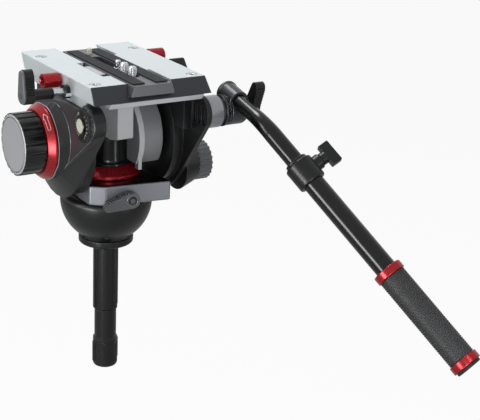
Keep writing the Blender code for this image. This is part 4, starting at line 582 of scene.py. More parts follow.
# The outer face takes the lighter graphite coat, a painted highlight on the black casting.
for face in left_arm.faces:
    if face.normal.x < -0.99 and face.calc_center_median().x < arm_face + 0.0002:
        face.material_index = 2
piece("left_arm_casting", left_arm, [black_coat, worn_edge_and_highlight_coat, arm_face_painted_highlight_coat], "tilt", "left_arm",
      smooth=radians(24))


def side_frame(x, y, z, outward=1):
    """A frame on a side wall of the head: its Z runs along X and points away from the middle."""
    return axis_frame((outward, 0, 0), (x, y, z))


drag_axis = side_frame(0, 0, 0.0720, -1)

# %% [markdown]
# ## Tilt drag: cone and red ring
# A black cone seats the drag knob on the arm. It is oblique: its foot reaches further to the far
# side than its crown. In front of it turns the red index ring: a flat rim, then a slope down to the
# knob. It carries an outlined arrow in white, which tells the operator which way drag increases.
# The arrow is drawn flat in its true size, folded round the axis and laid on the slope.

# %% Cone and index ring
cone_crown = -0.0745
# The cone's strips at crown and foot take the pale coat: worn edges and a painted highlight.
cone = soften(solid_copy("drag_cone"), 0.0005, 2, radians(20), keep=lambda e: e.is_convex,
              bright=lambda middle: middle.x < cone_crown + 0.0006 or middle.x > arm_face - 0.0010)
piece("drag_cone_casting", cone, [black_coat, worn_edge_and_highlight_coat], "tilt", "drag_cone")
ring = lathe([(0.0076, 0.0751), (0.0396, 0.0751), (0.0400, 0.0755), (0.0400, 0.0772),
              (0.0396, 0.0777), (0.0350, 0.0833), (0.0344, 0.0836), (0.0076, 0.0836)],
             frame=drag_axis)
piece("index_ring_body", soften(ring, 0.0004, 2), red_anodised, "tilt_drag", "index_ring")


def wrap_on_cone(made, low_radius, high_radius, low, high, lift):
    """Lays a flat sheet on a cone: its x runs round the cone and its y up the slope, from 0 to 1."""
    for vert in made.verts:
        turn, share = vert.co.x, vert.co.y
        reach = low_radius + (high_radius - low_radius) * share + lift + vert.co.z
        vert.co = (reach * cos(turn), reach * sin(turn), low + (high - low) * share)
    return made


def stroke(start, end, width, steps=6):
    """A flat bar between two points of a sheet, cut into steps so that it can be wrapped."""
    run = Vector((*end, 0)) - Vector((*start, 0))
    made = bmesh.new()
    bmesh.ops.create_grid(made, x_segments=steps, y_segments=1, size=0.5)
    bmesh.ops.scale(made, vec=(run.length, width, 1), verts=made.verts)
    bmesh.ops.rotate(made, cent=(0, 0, 0), matrix=Matrix.Rotation(atan2(run.y, run.x), 3, "Z"),
                     verts=made.verts)
    bmesh.ops.translate(made, vec=(Vector((*start, 0)) + Vector((*end, 0))) / 2, verts=made.verts)
    return made


tail, barb, tip, half_shaft, half_head, line_width = -0.0105, 0.0030, 0.0095, 0.0016, 0.0029, 0.00045
corners = [(tail, -half_shaft), (tail, half_shaft), (barb, half_shaft), (barb, half_head), (tip, 0),
           (barb, -half_head), (barb, -half_shaft), (tail, -half_shaft)]
arrow = together(*[stroke(start, end, line_width) for start, end in zip(corners, corners[1:])])
ring_radius, slope_length = 0.0373, 0.0072
bmesh.ops.scale(arrow, vec=(1 / ring_radius, 1 / slope_length, 1), verts=arrow.verts)
bmesh.ops.translate(arrow, vec=(0, 0.5, 0), verts=arrow.verts)
wrap_on_cone(arrow, 0.0396, 0.0350, 0.0777, 0.0833, 0.00008)
bmesh.ops.rotate(arrow, cent=(0, 0, 0), matrix=Matrix.Rotation(radians(-40), 3, "Z"), verts=arrow.verts)
bmesh.ops.solidify(arrow, geom=arrow.faces[:], thickness=0.00006)
bmesh.ops.transform(arrow, matrix=drag_axis, verts=arrow.verts)
piece("drag_arrow", arrow, white_ink, "tilt_drag")

# %% [markdown]
# ## Tilt drag knob and cap
# The knob is polished black nylon with twenty broad ribs and narrow grooves between them, so the
# hand finds it in the dark and a studio light breaks into bars. The rib outline is stretched along
# the axis and every edge is rounded. The cap is a satin grey disc with a dark groove near its rim.

# %% Knob and cap
def ribbed_outline(root, crest, ribs, share, arc_steps=3):
    """The outline of a ribbed knob: arcs at the crest for a share of the pitch, else at the root."""
    points = []
    pitch = 360 / ribs
    for rib in range(ribs):
        start = rib * pitch
        points += arc((0, 0), crest, start, start + pitch * share, arc_steps)
        points += arc((0, 0), root, start + pitch * (share + 0.08), start + pitch * 0.92, arc_steps - 1)
    return points


knob = outline_slab(ribbed_outline(0.0316, 0.0328, 20, 0.62), 0.0842, 0.1069)
knob = soften(knob, 0.0005, 2)
knob = together(knob, lathe([(0, 0.0663), (0.0070, 0.0663), (0.0070, 0.0850), (0, 0.0850)], 48))
bmesh.ops.transform(knob, matrix=drag_axis, verts=knob.verts)
piece("drag_knob_grip", knob, gloss_nylon, "tilt_drag", "drag_knob")
cap = lathe([(0, 0.1063), (0.0313, 0.1063), (0.0313, 0.1069), (0.0306, 0.1074), (0.0290, 0.1075),
             (0.0289, 0.1070), (0.0283, 0.1070), (0.0282, 0.1075), (0, 0.1075)], frame=drag_axis)
for face in cap.faces:
    middle = face.calc_center_median() - Vector((0, 0, 0.0720))
    if 0.0282 < hypot(middle.y, middle.z) < 0.0291 and middle.x > -0.10748:
        face.material_index = 1
piece("drag_cap_disc", cap, [cap_metal, dark_ink], "tilt_drag", "drag_knob_cap")

# %% [markdown]
# ## Counterbalance dial
# On the arm's nose sits a small dial that sets how many springs work against the camera's weight:
# black, with fine teeth, digits on its near half and index ticks on its far half. The ivory button
# in its middle lights the dial and the level. Digits are text turned into mesh.

# %% Dial, digits and button
dial_axis = side_frame(0, -0.0900, 0.1120, -1)
dial = soften(outline_slab(ribbed_outline(0.0165, 0.0172, 36, 0.46, 2), 0.0699, 0.0730), 0.0003, 2)
dial = together(dial, lathe([(0, 0.0600), (0.0050, 0.0600), (0.0050, 0.0700), (0, 0.0700)], 48),
                soften(lathe([(0.0083, 0.0729), (0.0150, 0.0729), (0.0147, 0.0733), (0.0086, 0.0733)]),
                       0.0002, 2))
bmesh.ops.transform(dial, matrix=dial_axis, verts=dial.verts)
piece("dial_body", dial, black_nylon, "dial", "balance_dial")
button = lathe([(0, 0.0719), (0.0080, 0.0719), (0.0080, 0.0747), (0.0072, 0.0754), (0.0045, 0.0756),
                (0.0042, 0.0753), (0.0036, 0.0753), (0.0033, 0.0756), (0, 0.0757)], frame=dial_axis)
button_middle, lit_radius = Vector((-0.0757, -0.0900, 0.1120)), 0.0063
for face in button.faces:
    middle = face.calc_center_median() - button_middle
    face.material_index = int(hypot(middle.y, middle.z) > lit_radius)
piece("light_button_cap", button, [ivory_acetal, gloss_nylon], "button", "light_button")


def text_mesh(words, size, thickness):
    """Text as a closed mesh round the origin."""
    curve = bpy.data.curves.new("digits", "FONT")
    curve.body, curve.size, curve.extrude = words, size, thickness / 2
    curve.align_x, curve.align_y = "CENTER", "CENTER"
    curve.resolution_u = 3
    holder = bpy.data.objects.new("digits", curve)
    bpy.context.scene.collection.objects.link(holder)
    bpy.context.view_layer.update()
    mesh = bpy.data.meshes.new_from_object(holder.evaluated_get(bpy.context.evaluated_depsgraph_get()))
    made = bmesh.new()
    made.from_mesh(mesh)
    bmesh.ops.remove_doubles(made, verts=made.verts, dist=1e-6)
    bpy.data.objects.remove(holder)
    bpy.data.curves.remove(curve)
    bpy.data.meshes.remove(mesh)
    return made


marks = bmesh.new()
for count in range(7):
    turn = radians(-32 - 19.3 * count)
    digit = text_mesh(str(count + 1), 0.0036, 0.0001)
    bmesh.ops.rotate(digit, cent=(0, 0, 0), matrix=Matrix.Rotation(turn - pi / 2, 3, "Z"),
                     verts=digit.verts)
    bmesh.ops.translate(digit, vec=(0.0120 * cos(turn), 0.0120 * sin(turn), 0.07336), verts=digit.verts)
    marks = together(marks, digit)
for count in range(11):
    turn = radians(30 + 12 * count)
    length = 0.0034 if count % 5 == 0 else 0.0020
    tick = block((length, 0.0005, 0.0001), (0.0143 - length / 2, 0, 0.07336))
    bmesh.ops.rotate(tick, cent=(0, 0, 0), matrix=Matrix.Rotation(turn, 3, "Z"), verts=tick.verts)
    marks = together(marks, tick)
bmesh.ops.transform(marks, matrix=dial_axis, verts=marks.verts)
piece("dial_marks", marks, white_ink, "dial")

# %% [markdown]
# ## Tilt core
# Between the arms stands the fixed core: a block on the neck, a web and the drum of the
# counterbalance, one grey casting. It shows through the open front, so it gets round edges too: a
# wide one where the block turns to the operator's left, which takes the paler silver coat as a painted
# highlight. The drum behind the strip and the web's face beside the block take a darker grey, which is
# painted shade on the same casting.
# The drag cartridge, spring, cover and bearings inside only need their metal.

# %% Tilt core
core = solid_copy("tilt_core")
block_left, block_front, block_back, chamfer = -0.0140, -0.0400, -0.0120, 0.0065
drum_left, drum_line = 0.0155, 0.0222
slant = Vector((-1, -1, 0)).normalized()
slant_place = Vector((block_left + chamfer, block_front, 0))
near_block = [f for f in core.faces if f.calc_center_median().y < block_back
              and f.calc_center_median().x < drum_left - 0.0010]
near_block += list({e for f in near_block for e in f.edges}) + list({v for f in near_block for v in f.verts})
bmesh.ops.bisect_plane(core, geom=near_block, plane_co=slant_place, plane_no=slant)
corner = [v for v in core.verts if (v.co - slant_place).dot(slant) > 1e-6 and v.co.y < block_back
          and v.co.x > block_left - 0.0001]
bmesh.ops.delete(core, geom=corner, context="VERTS")
bmesh.ops.holes_fill(core, edges=[e for e in core.edges if e.is_boundary], sides=0)
bmesh.ops.recalc_face_normals(core, faces=core.faces)
bmesh.ops.bisect_plane(core, geom=core.verts[:] + core.edges[:] + core.faces[:],
                       plane_co=(drum_line, 0, 0), plane_no=(1, 0, 0))
core = soften(core, 0.0008, 3, radians(20), keep=lambda e: e.calc_length() > 0.0016)
# Drum faces and the web's left face take the darker grey as painted shade on the one grey casting.
for face in core.faces:
    middle = face.calc_center_median()
    face.material_index = int(middle.x > drum_line or
                              (face.normal.x < -0.9 and abs(middle.x - drum_left) < 0.0010))
    # The chamfer's faces take the paler silver coat: a painted highlight where the block turns to the left.
    if face.normal.dot(slant) > 0.95 and middle.y < block_back:
        face.material_index = 2
print("open edges in the core:", len([e for e in core.edges if e.is_boundary]))
piece("core_casting", core, [core_coat, drum_painted_shade_coat, silver_coat], "pan", "tilt_core", smooth=radians(30))
paint(black_coat, "drum_cover")
paint(bare_aluminium, "drag_cartridge")
paint(turned_steel, "tilt_axle", "counterbalance_spring")
paint(bronze, "tilt_bearing")

# %% [markdown]
# ## Bridge platform
# The platform joins both arms and carries the camera plate. Its top and sides are silver, its near
# end is a darker charcoal, partly a coat of its own and partly painted shade, and a grey lip runs
# under that end. The solid has the rake, the dovetail channel and the counterbores, so it is copied
# and rounded, and its near faces take the second coat, the charcoal with its painted shade.
# The collar of the lock shaft is black, so faces out beyond the side wall take a third.

# %% Platform and lip
near_end, side_wall = -0.0850, -0.0672
platform = soften(solid_copy("platform"), 0.0007, 3, radians(20),
                  keep=lambda e: e.calc_length() > 0.0014)
# Faces of the near end get the charcoal: partly a coat of their own, partly painted shade.
for face in platform.faces:
    middle = face.calc_center_median()
    if face.normal.y < -0.3 and middle.y < near_end:
        face.material_index = 1
    elif middle.x < side_wall:
        face.material_index = 2
piece("platform_casting", platform, [silver_coat, charcoal_end_and_shade_coat, black_coat], "tilt", "platform")
lip = soften(solid_copy("platform_lip"), 0.0008, 3)
piece("platform_lip_bar", lip, lip_coat, "tilt", "platform_lip")

# %% [markdown]
# ## Corner screws
# Four socket screws hold the platform on the arms. A socket is six-sided inside a round head, so
# both are drawn with the same number of points: on the hexagon, each point lies where its ray
# from the middle meets the side. Rings of equal count are then joined by quads.

# %% Rings of equal count
def round_ring(radius, height, steps=48):
    return [(radius * cos(t), radius * sin(t), height) for t in (2 * pi * i / steps for i in range(steps))]


def hex_ring(radius, height, steps=48):
    """Points on a hexagon with that corner radius, on the same rays as a round ring's."""
    points = []
    for i in range(steps):
        turn = 2 * pi * i / steps
        reach = radius * cos(pi / 6) / cos(turn % (pi / 3) - pi / 6)
        points.append((reach * cos(turn), reach * sin(turn), height))
    return points


def ring_solid(rings, frame=None, closed=False):
    """Joins rings of equal count by quads and caps both ends, or joins the ends if closed."""
    made = bmesh.new()
    loops = [[made.verts.new(point) for point in ring] for ring in rings]
    pairs = zip(loops, loops[1:] + loops[:1]) if closed else zip(loops, loops[1:])
    for low_loop, high_loop in pairs:
        for i in range(len(low_loop)):
            j = (i + 1) % len(low_loop)
            made.faces.new((low_loop[i], low_loop[j], high_loop[j], high_loop[i]))
    if not closed:
        made.faces.new(loops[0][::-1])
        made.faces.new(loops[-1])
    bmesh.ops.recalc_face_normals(made, faces=made.faces)
    if frame is not None:
        bmesh.ops.transform(made, matrix=frame, verts=made.verts)
    return made


platform_top = 0.1500
screw_seat = platform_top - 0.0027
head_top = platform_top - 0.0001
for index, (x, y) in enumerate(((-0.055, -0.082), (0.055, -0.082), (-0.055, 0.045), (0.055, 0.045))):
    seat = Matrix.Translation((x, y, 0))
    screw = ring_solid([round_ring(0.0030, screw_seat - 0.0120), round_ring(0.0030, screw_seat),
                        round_ring(0.0055, screw_seat), round_ring(0.0055, head_top - 0.0005),
                        round_ring(0.0051, head_top), round_ring(0.0034, head_top),
                        hex_ring(0.0029, head_top - 0.0003), hex_ring(0.0028, head_top - 0.0016)], seat)
    piece(f"corner_screw_head_{index + 1}", screw, turned_steel, "tilt", f"corner_screw_{index + 1}")

# %% [markdown]
# ## Camera plate
# The sliding plate is black anodised aluminium with two strips of rubber. In its slot stand two
# threaded camera screws and a smooth guide pin, and further off an ivory pin on a spring, which
# keeps the camera from turning. The thread is a zigzag outline that is spun like the rest.

# %% Plate, pads, pins and screws
plate = soften(solid_copy("camera_plate"), 0.0004, 2, radians(20), keep=lambda e: e.calc_length() > 0.001)
piece("sliding_plate", plate, black_anodised, "plate", "camera_plate")
for side in ("left", "right"):
    pad = soften(solid_copy(f"{side}_plate_pad"), 0.0003, 2)
    piece(f"{side}_rubber_strip", pad, rubber_pad, "plate", f"{side}_plate_pad")
plate_middle, plate_floor, plate_face = -0.0025, 0.1393, 0.1501
screw_shelf = plate_floor + 0.0052


def upright_frame(y):
    return Matrix.Translation((plate_middle, y, 0))


for name, y in (("front", -0.0430), ("rear", -0.0610)):
    tip = plate_face + 0.0085
    outline = [(0, screw_shelf - 0.0035), (0.0073, screw_shelf - 0.0035), (0.0075, screw_shelf - 0.0033),
               (0.0075, screw_shelf)]
    crest = screw_shelf + 0.0008
    while crest < tip - 0.0020:
        outline += [(0.0040, crest - 0.0004), (0.0045, crest)]
        crest += 0.0009
    outline += [(0.0040, tip - 0.0014), (0.0036, tip - 0.0004), (0.0030, tip), (0, tip)]
    piece(f"camera_screw_{name}_stud", lathe(outline, 48, upright_frame(y)), turned_steel,
          f"screw_{name}", f"camera_screw_{name}")
tip = plate_face + 0.0080
guide = lathe([(0, plate_floor + 0.0003), (0.0060, plate_floor + 0.0003), (0.0060, screw_shelf),
               (0.0044, screw_shelf), (0.0044, plate_face), (0.0030, plate_face),
               (0.0030, tip - 0.0012)] + arc((0.0018, tip - 0.0012), 0.0012, 20, 90, 4) + [(0, tip)],
              48, upright_frame(-0.0290))
piece("guide_pin_turning", guide, turned_steel, "plate", "guide_pin")
tip = plate_face + 0.0065
spring_pin = lathe([(0, plate_face - 0.0040), (0.0028, plate_face - 0.0040), (0.0028, tip - 0.0012)] +
                   arc((0.0016, tip - 0.0012), 0.0012, 15, 90, 4) + [(0, tip)], 48, upright_frame(0.0370))
piece("spring_pin", spring_pin, ivory_acetal, "pin", "video_pin")
jaw = soften(solid_copy("plate_jaw"), 0.0005, 2)
piece("clamping_jaw", jaw, bare_aluminium, "jaw", "plate_jaw")

# %% [markdown]
# ## Accessory sockets
# A red anodised socket stands out of each side of the platform, with an internal thread for a
# monitor arm. The thread's crests are cut into the same outline from the inside.

# %% Sockets
socket_wall, socket_end = 0.0668, 0.0853
socket_outline = [(0, 0.0600), (0.0040, 0.0600), (0.0040, socket_wall), (0.0072, socket_wall),
                  (0.0076, socket_wall + 0.0004), (0.0076, socket_end - 0.0006),
                  (0.0072, socket_end - 0.0001), (0.0070, socket_end), (0.0055, socket_end),
                  (0.0047, socket_end - 0.0008)]
crest = socket_end - 0.0014
while crest > socket_wall + 0.0042:
    socket_outline += [(0.0046, crest), (0.0050, crest - 0.0006)]
    crest -= 0.0012
socket_outline += [(0.0046, socket_wall + 0.0035), (0, socket_wall + 0.0030)]
for name, side, y in (("left", -1, -0.0240), ("right", 1, 0.0340)):
    made = lathe(socket_outline, 64, side_frame(0, y, 0.1425, side))
    piece(f"{name}_threaded_socket", made, red_anodised, "tilt", f"{name}_socket")

# %% [markdown]
# ## Levers
# Every lever on this head has the same idea: a teardrop, broad at its hub, with a row of ribs along
# the edge that the thumb pushes. One function draws that outline from two circles and their common
# tangents. A rib has a flat crest and sloping sides, and its edges are rounded with the rest.

# %% Lever outline
rib_shares = ((0.08, 0.0), (0.30, 1.0), (0.70, 1.0), (0.92, 0.0))


def teardrop(reach, hub_radius, tip_radius, ribs=0, depth=0.0, side=1, steps=24):
    """A lever's outline from the hub at the origin to a tip on the X axis, ribbed on one side."""
    tangent = acos((hub_radius - tip_radius) / reach) * 180 / pi
    hub = arc((0, 0), hub_radius, tangent, 360 - tangent, steps)
    tip = arc((reach, 0), tip_radius, -tangent, tangent, steps // 2)
    start, end = (Vector(hub[-1]), Vector(tip[0])) if side < 0 else (Vector(tip[-1]), Vector(hub[0]))
    run = end - start
    out = Vector((run.y, -run.x)).normalized() * depth
    ridge = [tuple(start + run * (rib + share) / ribs + out * lift)
             for rib in range(ribs) for share, lift in rib_shares]
    return hub + ridge + tip if side < 0 else hub + tip + ridge


def turned_about(points, turn):
    """An outline turned about the origin."""
    return [(x * cos(turn) - y * sin(turn), x * sin(turn) + y * cos(turn)) for x, y in points]


def disc(radius, low, high, ease, steps=48):
    """A round plate with an eased upper edge."""
    return lathe([(0, low), (radius, low), (radius, high - ease), (radius - ease * 0.3, high - ease * 0.3),
                  (radius - ease, high), (0, high)], steps)


# %% [markdown]
# ## Plate lock lever
# The lever on the left draws the jaw against the plate. Its body is black nylon with eleven ribs on
# the near edge, and a satin grey cover lies on its outer face, with the small screw that holds the
# lever on its shaft.

# %% Plate lock lever
lock_axis = side_frame(0, -0.0440, 0.1350, -1)
lever_inner, lever_outer, cover_outer = 0.1053, 0.1148, 0.1170
body = soften(outline_slab(teardrop(0.0205, 0.0088, 0.0062, 13, 0.0009, -1), lever_inner, lever_outer),
              0.0004, 2)
cover = soften(outline_slab(teardrop(0.0205, 0.0080, 0.0054), lever_outer - 0.0005, cover_outer), 0.0006, 3)
shank = lathe([(0.0043, 0.0835), (0.0055, 0.0835), (0.0058, 0.0838), (0.0058, lever_inner + 0.0005),
               (0.0043, lever_inner + 0.0005)], 48)
lever = together(body, shank)
for made in (lever, cover):
    bmesh.ops.transform(made, matrix=lock_axis, verts=made.verts)
piece("lock_lever_body", lever, black_nylon, "plate_lock", "lock_lever")
piece("lock_lever_cover", cover, lever_cover_coat, "plate_lock")
face_screw = ring_solid([round_ring(0.0026, cover_outer - 0.0010), round_ring(0.0026, cover_outer - 0.0002),
                         round_ring(0.0023, cover_outer), round_ring(0.0017, cover_outer),
                         hex_ring(0.0014, cover_outer - 0.0001), hex_ring(0.0014, cover_outer - 0.0008)],
                        lock_axis)
piece("lock_lever_screw", face_screw, turned_steel, "plate_lock")
shaft = lathe([(0, 0.0500), (0.0040, 0.0500), (0.0040, 0.1046), (0.0036, 0.1050), (0, 0.1050)], 48,
              lock_axis)
piece("lock_shaft_rod", shaft, turned_steel, "plate_lock", "lock_shaft")

# %% [markdown]
# ## Plate release and pan lock
# Behind the platform's right edge a short black wing opens the plate's safety catch. The pan lock
# on the housing's front has its ribs on the upper edge; its hub has a round screw in a ring.

# %% Release wing and pan lock lever
release = soften(solid_copy("release_lever"), 0.0007, 3, radians(24))
piece("release_wing", release, black_nylon, "release", "release_lever")

hub_place = pan_turn @ Vector((0.0078, -0.0530, 0.0145))
hub_axis = axis_frame(pan_turn @ Vector((0, -1, 0)), hub_place, pan_turn @ Vector((1, 0, 0)))
lever_low, lever_high = 0.0030, 0.0105
outline = turned_about(teardrop(0.0272, 0.0085, 0.0042, 10, 0.0017, -1), radians(193))
body = soften(outline_slab(outline, lever_low, lever_high), 0.0006, 2)
shaft = lathe([(0, -0.0160), (0.0040, -0.0160), (0.0040, lever_low + 0.0005), (0, lever_low + 0.0005)], 48)
collar = soften(lathe([(0.0053, lever_high - 0.0030), (0.0066, lever_high - 0.0030),
                       (0.0066, lever_high + 0.0004), (0.0053, lever_high + 0.0004)], 48), 0.0002, 2)
lever = together(body, shaft, collar)
bmesh.ops.transform(lever, matrix=hub_axis, verts=lever.verts)
piece("pan_lever_body", lever, lever_nylon, "pan_lock", "pan_lock_lever")
button = ring_solid([round_ring(0.0050, lever_high - 0.0027), round_ring(0.0050, lever_high - 0.0003),
                     round_ring(0.0047, lever_high), round_ring(0.0026, lever_high),
                     hex_ring(0.0022, lever_high - 0.0001), hex_ring(0.0022, lever_high - 0.0015)],
                    hub_axis)
piece("pan_lever_screw", button, blackened_steel, "pan_lock", "pan_lock_screw")

# %% [markdown]
# ## Right arm and tilt lock
# The right arm is a thick plate with moulded pockets in its inner face, a hub round the spring drum
# and the boss that carries the pan bar. The tilt lock's cone stands on its outer face, with a knob
# of coarse ribs. The arm is the solid again with rounded edges, and a turned graphite sleeve covers
# its boss, coloured paler than its metal as a painted highlight; cone and knob are turned anew.

# %% Right arm, lock cone and knob
right_arm = soften(solid_copy("right_arm"), 0.0008, 2, radians(14),
                   keep=lambda e: e.calc_length() > 0.0011 and e.is_convex)
plate_outer, boss_end, disc_seat = 0.0660, 0.0811, 0.0850
boss = lathe([(0.0130, plate_outer), (0.0169, plate_outer), (0.0169, boss_end - 0.0005),
              (0.0164, boss_end), (0.0136, boss_end), (0.0136, disc_seat), (0.0130, disc_seat)],
             frame=side_frame(0, -0.0900, 0.1100))
# The boss sleeve takes the paler graphite: its metal with a painted highlight.
for face in boss.faces:
    face.material_index = 1
piece("right_arm_casting", together(right_arm, boss), [black_coat, boss_metal_and_highlight_coat], "tilt", "right_arm",
      smooth=radians(24))
lock_axis = side_frame(0, -0.0310, 0.0380)
cone = lathe([(0.0056, 0.0663), (0.0290, 0.0663), (0.0290, 0.0673), (0.0222, 0.0850),
              (0.0215, 0.0863), (0.0056, 0.0863)], frame=lock_axis)
piece("lock_cone_casting", soften(cone, 0.0006, 2), black_coat, "tilt", "tilt_lock_housing")
knob = outline_slab(ribbed_outline(0.0203, 0.0215, 22, 0.44), 0.0869, 0.1028)
knob = soften(knob, 0.0005, 2)
knob = together(knob, lathe([(0, 0.0666), (0.0050, 0.0666), (0.0050, 0.0875), (0, 0.0875)], 48),
                soften(lathe([(0, 0.1020), (0.0188, 0.1020), (0.0182, 0.1031), (0.0120, 0.1031),
                              (0.0110, 0.1026), (0, 0.1026)]), 0.0003, 2))
bmesh.ops.transform(knob, matrix=lock_axis, verts=knob.verts)
piece("lock_knob_grip", knob, lever_nylon, "tilt_lock", "tilt_lock_knob")

# %% [markdown]
# ## Rosette
# The pan bar hangs on a rosette: two steel discs with radial teeth that mesh, one fixed to the arm
# and one to the bar, drawn together by a bolt and a wing lever. The solids have the teeth already,
# so they are copied and their crests are rounded a little.

# %% Rosette discs and bolt
for solid in ("rosette_disc", "bar_rosette_disc"):
    disc_copy = soften(solid_copy(solid), 0.0002, 1, radians(20))
    piece(f"{solid}_toothed", disc_copy, blackened_steel, "bar" if solid.startswith("bar") else "tilt",
          solid)
paint(turned_steel, "rosette_bolt")

# %% [markdown]
# ## Bar clamp and wing lever
# The clamp is a round body on the rosette's axis with a sleeve through it, which holds the slim end
# of the tube. Both are turned shapes that share the body, so two lathes make it. The wing lever
# behind it is a ribbed teardrop again, on a round hub.

# %% Bar clamp and wing
nose_axis = side_frame(0, -0.0900, 0.1100)
bar_bend = Vector((0.1010, -0.1486, 0.1099))
bar_up = Vector((0, cos(radians(12.5)), sin(radians(12.5))))
bar_down = Vector((0.300, -0.734, -0.609)).normalized()
clamp_start, clamp_end = 0.0922, 0.1140
clamp_body = lathe([(0.0028, clamp_start), (0.0157, clamp_start), (0.0162, clamp_start + 0.0005),
                    (0.0162, clamp_end - 0.0065)] + arc((0.0097, clamp_end - 0.0065), 0.0065, 8, 84, 8) +
                   [(0.0085, clamp_end), (0.0028, clamp_end)], frame=nose_axis)
sleeve_low, sleeve_high = 0.0480, 0.0745
clamp_sleeve = lathe([(0.0083, sleeve_low), (0.0108, sleeve_low), (0.0112, sleeve_low + 0.0004),
                      (0.0112, sleeve_high - 0.0037), (0.0116, sleeve_high - 0.0035),
                      (0.0120, sleeve_high - 0.0032), (0.0120, sleeve_high - 0.0010),
                      (0.0112, sleeve_high), (0, sleeve_high), (0, sleeve_high - 0.0020),
                      (0.0083, sleeve_high - 0.0020)], frame=axis_frame(bar_up, bar_bend, (1, 0, 0)))
piece("bar_clamp_body", together(clamp_body, clamp_sleeve), clamp_coat, "bar", "bar_clamp")
wing_start, wing_high = 0.1146, 0.1301
blade = soften(outline_slab(turned_about(teardrop(0.0260, 0.0076, 0.0055, 11, 0.0008), radians(25)),
                            wing_high - 0.0105, wing_high), 0.0005, 2)
hub = lathe([(0.0028, wing_start), (0.0074, wing_start), (0.0080, wing_start + 0.0006),
             (0.0080, wing_high + 0.0004), (0.0074, wing_high + 0.0010), (0, wing_high + 0.0010),
             (0, wing_start + 0.0103), (0.0028, wing_start + 0.0103)], 64)
wing = together(blade, hub)
bmesh.ops.transform(wing, matrix=nose_axis, verts=wing.verts)
piece("wing_blade", wing, black_nylon, "wing", "wing_lever")

# %% [markdown]
# ## Bent tube
# The upper bar is a slim tube that leaves the clamp, bends in a smooth curve and widens to its full
# size. The curve is a quadratic Bezier between two straight runs. Rings of points are set square to
# it, outside and inside, and joined to a tube with real walls. Under enamel, the bend pulls the
# reflection of the tall soft box into one long swooping line.

# %% Upper tube
def curve_points(first, corner, last, steps):
    return [first * (1 - t) ** 2 + corner * 2 * t * (1 - t) + last * t ** 2
            for t in (i / steps for i in range(steps + 1))]


def rings_along(path, radii, steps=56):
    """Rings square to a path, with a radius for each point."""
    rings = []
    befores, afters = path[:1] + path[:-1], path[1:] + path[-1:]
    for before, point, after, radius in zip(befores, path, afters, radii):
        place = axis_frame(after - before, point, (1, 0, 0))
        rings.append([place @ Vector(spot) for spot in round_ring(radius, 0, steps)])
    return rings


clamp_reach, bend_run, tube_run, bend_steps = 0.0722, 0.0160, 0.1970, 20
slim, full, wall = 0.0080, 0.0091, 0.0016
path = [bar_bend + bar_up * clamp_reach]
path += curve_points(bar_bend + bar_up * bend_run, bar_bend, bar_bend + bar_down * bend_run, bend_steps)
path.append(bar_bend + bar_down * tube_run)
radii = [slim] + [slim + (full - slim) * i / bend_steps for i in range(bend_steps + 1)] + [full]
outer = rings_along(path, radii)
inner = rings_along(path, [radius - wall for radius in radii])
tube = ring_solid(outer + inner[::-1], closed=True)
piece("bent_tube", tube, black_enamel, "bar", "bar_upper_tube")

# %% [markdown]
# ## Telescopic tube and collar
# The lower tube slides on the upper one. Its collar is a split nylon casting with a boss for the
# thumb screw, eased at both ends; the screw has a square-cut bar for a head.

# %% Lower tube, collar and thumb screw
bar_axis = axis_frame(bar_down, bar_bend, (1, 0, 0.6))
collar_low, collar_high, collar_radius = 0.0520, 0.0810, 0.0150
sliding = lathe([(0.0094, 0.0720), (0.0110, 0.0720), (0.0110, 0.3065), (0.0094, 0.3065)], frame=bar_axis)
piece("sliding_tube", sliding, black_enamel, "bar_slide", "bar_lower_tube")
collar = lathe([(0.0094, collar_low), (0.0112, collar_low), (0.0120, collar_low + 0.0006),
                (0.0122, collar_low + 0.0030)] +
               arc((collar_radius - 0.0020, collar_low + 0.0056), 0.0020, -80, 0, 5)[1:] +
               arc((collar_radius - 0.0020, collar_high - 0.0020), 0.0020, 0, 90, 6) +
               [(0.0113, collar_high), (0.0113, 0.0717), (0.0094, 0.0717)], frame=bar_axis)
thumb_axis = axis_frame(bar_axis.to_3x3() @ Vector((1, 0, 0)),
                        bar_axis @ Vector((0, 0, (collar_low + collar_high) / 2)), bar_down)
boss = lathe([(0.0055, 0.0130), (0.0080, 0.0130), (0.0080, 0.0200), (0.0070, 0.0210), (0.0055, 0.0210)],
             64, thumb_axis)
piece("telescope_collar", together(collar, boss), black_nylon, "bar_slide", "bar_collar")
stem_end, head_high = 0.0270, 0.0390
stem = lathe([(0, 0.0097), (0.0052, 0.0097), (0.0052, 0.0213), (0.0066, 0.0216), (0.0066, stem_end + 0.0005),
              (0, stem_end + 0.0005)], 48)
head = soften(block((0.0250, 0.0085, head_high - stem_end), (0, 0, (stem_end + head_high) / 2)),
              0.0012, 3)
screw = together(stem, head)
bmesh.ops.transform(screw, matrix=thumb_axis, verts=screw.verts)
piece("thumb_screw_bar", screw, black_nylon, "thumb_screw", "bar_thumb_screw")

# %% [markdown]
# ## Grip
# The grip is black rubber with rows of small raised scales, each row shifted by half a scale from
# the one before. One scale is a block with bevelled edges; a spin makes a row of it, and the rows
# are turned and stacked by a loop. Red anodised rings close both ends, and a black cap the tube.

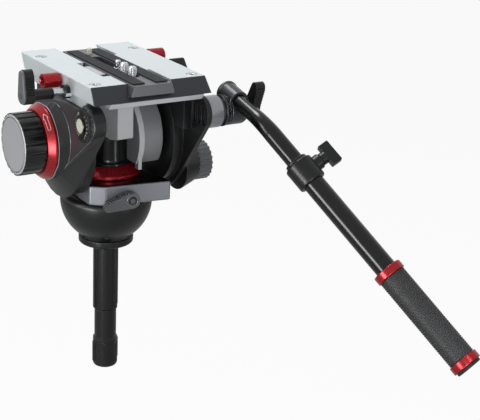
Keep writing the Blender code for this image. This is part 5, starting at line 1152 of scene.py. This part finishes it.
# %% Grip with scales, rings and cap
grip_low, grip_high, grip_radius, scale_height = 0.2030, 0.3067, 0.0140, 0.0006
rows, scales_in_row, scale_slant = 44, 26, radians(18)
grip = lathe([(0.0113, grip_low), (grip_radius - scale_height, grip_low),
              (grip_radius - scale_height, grip_high), (0.0113, grip_high)])
row_pitch = (grip_high - grip_low) / rows
scale = soften(block((scale_height * 2, 0.0028, row_pitch * 0.58), (grip_radius - scale_height, 0, 0)),
               0.00030, 1)
bmesh.ops.rotate(scale, cent=(0, 0, 0), matrix=Matrix.Rotation(scale_slant, 3, "X"), verts=scale.verts)
row_mesh = bpy.data.meshes.new("row")
copies_around(scale, scales_in_row).to_mesh(row_mesh)
for row in range(rows):
    single = bmesh.new()
    single.from_mesh(row_mesh)
    shift = Matrix.Rotation(pi / scales_in_row * (row % 2), 4, "Z")
    shift.translation = (0, 0, grip_low + row_pitch * (row + 0.5))
    bmesh.ops.transform(single, matrix=shift, verts=single.verts)
    grip = together(grip, single)
bpy.data.meshes.remove(row_mesh)
bmesh.ops.transform(grip, matrix=bar_axis, verts=grip.verts)
piece("scaled_grip", grip, grip_rubber, "bar_slide", "bar_grip", smooth=radians(20))
for name, low, high in (("upper", 0.1942, 0.2027), ("lower", 0.3070, 0.3155)):
    ring = soften(lathe([(0.0113, low), (0.0155, low), (0.0155, high), (0.0113, high)]), 0.0010, 4)
    bmesh.ops.transform(ring, matrix=bar_axis, verts=ring.verts)
    piece(f"grip_ring_{name}_turned", ring, red_anodised, "bar_slide", f"grip_ring_{name}")
cap_low, cap_high = 0.3158, 0.3184
cap = lathe([(0, 0.3068), (0.0110, 0.3068), (0.0110, cap_low), (0.0134, cap_low)] +
            arc((0.0122, cap_high - 0.0012), 0.0012, 0, 90, 4) +
            [(0.0100, cap_high), (0.0096, cap_high - 0.0004), (0, cap_high - 0.0004)], frame=bar_axis)
piece("tube_end_cap", cap, rubber_pad, "bar_slide", "bar_end_cap")

# %% [markdown]
# ## Size
# The last cell prints the size of the dressed head's box, in millimetres.

# %% Finish
low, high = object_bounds()
print("box in mm:", [round(1000 * (b - a), 1) for a, b in zip(low, high)])
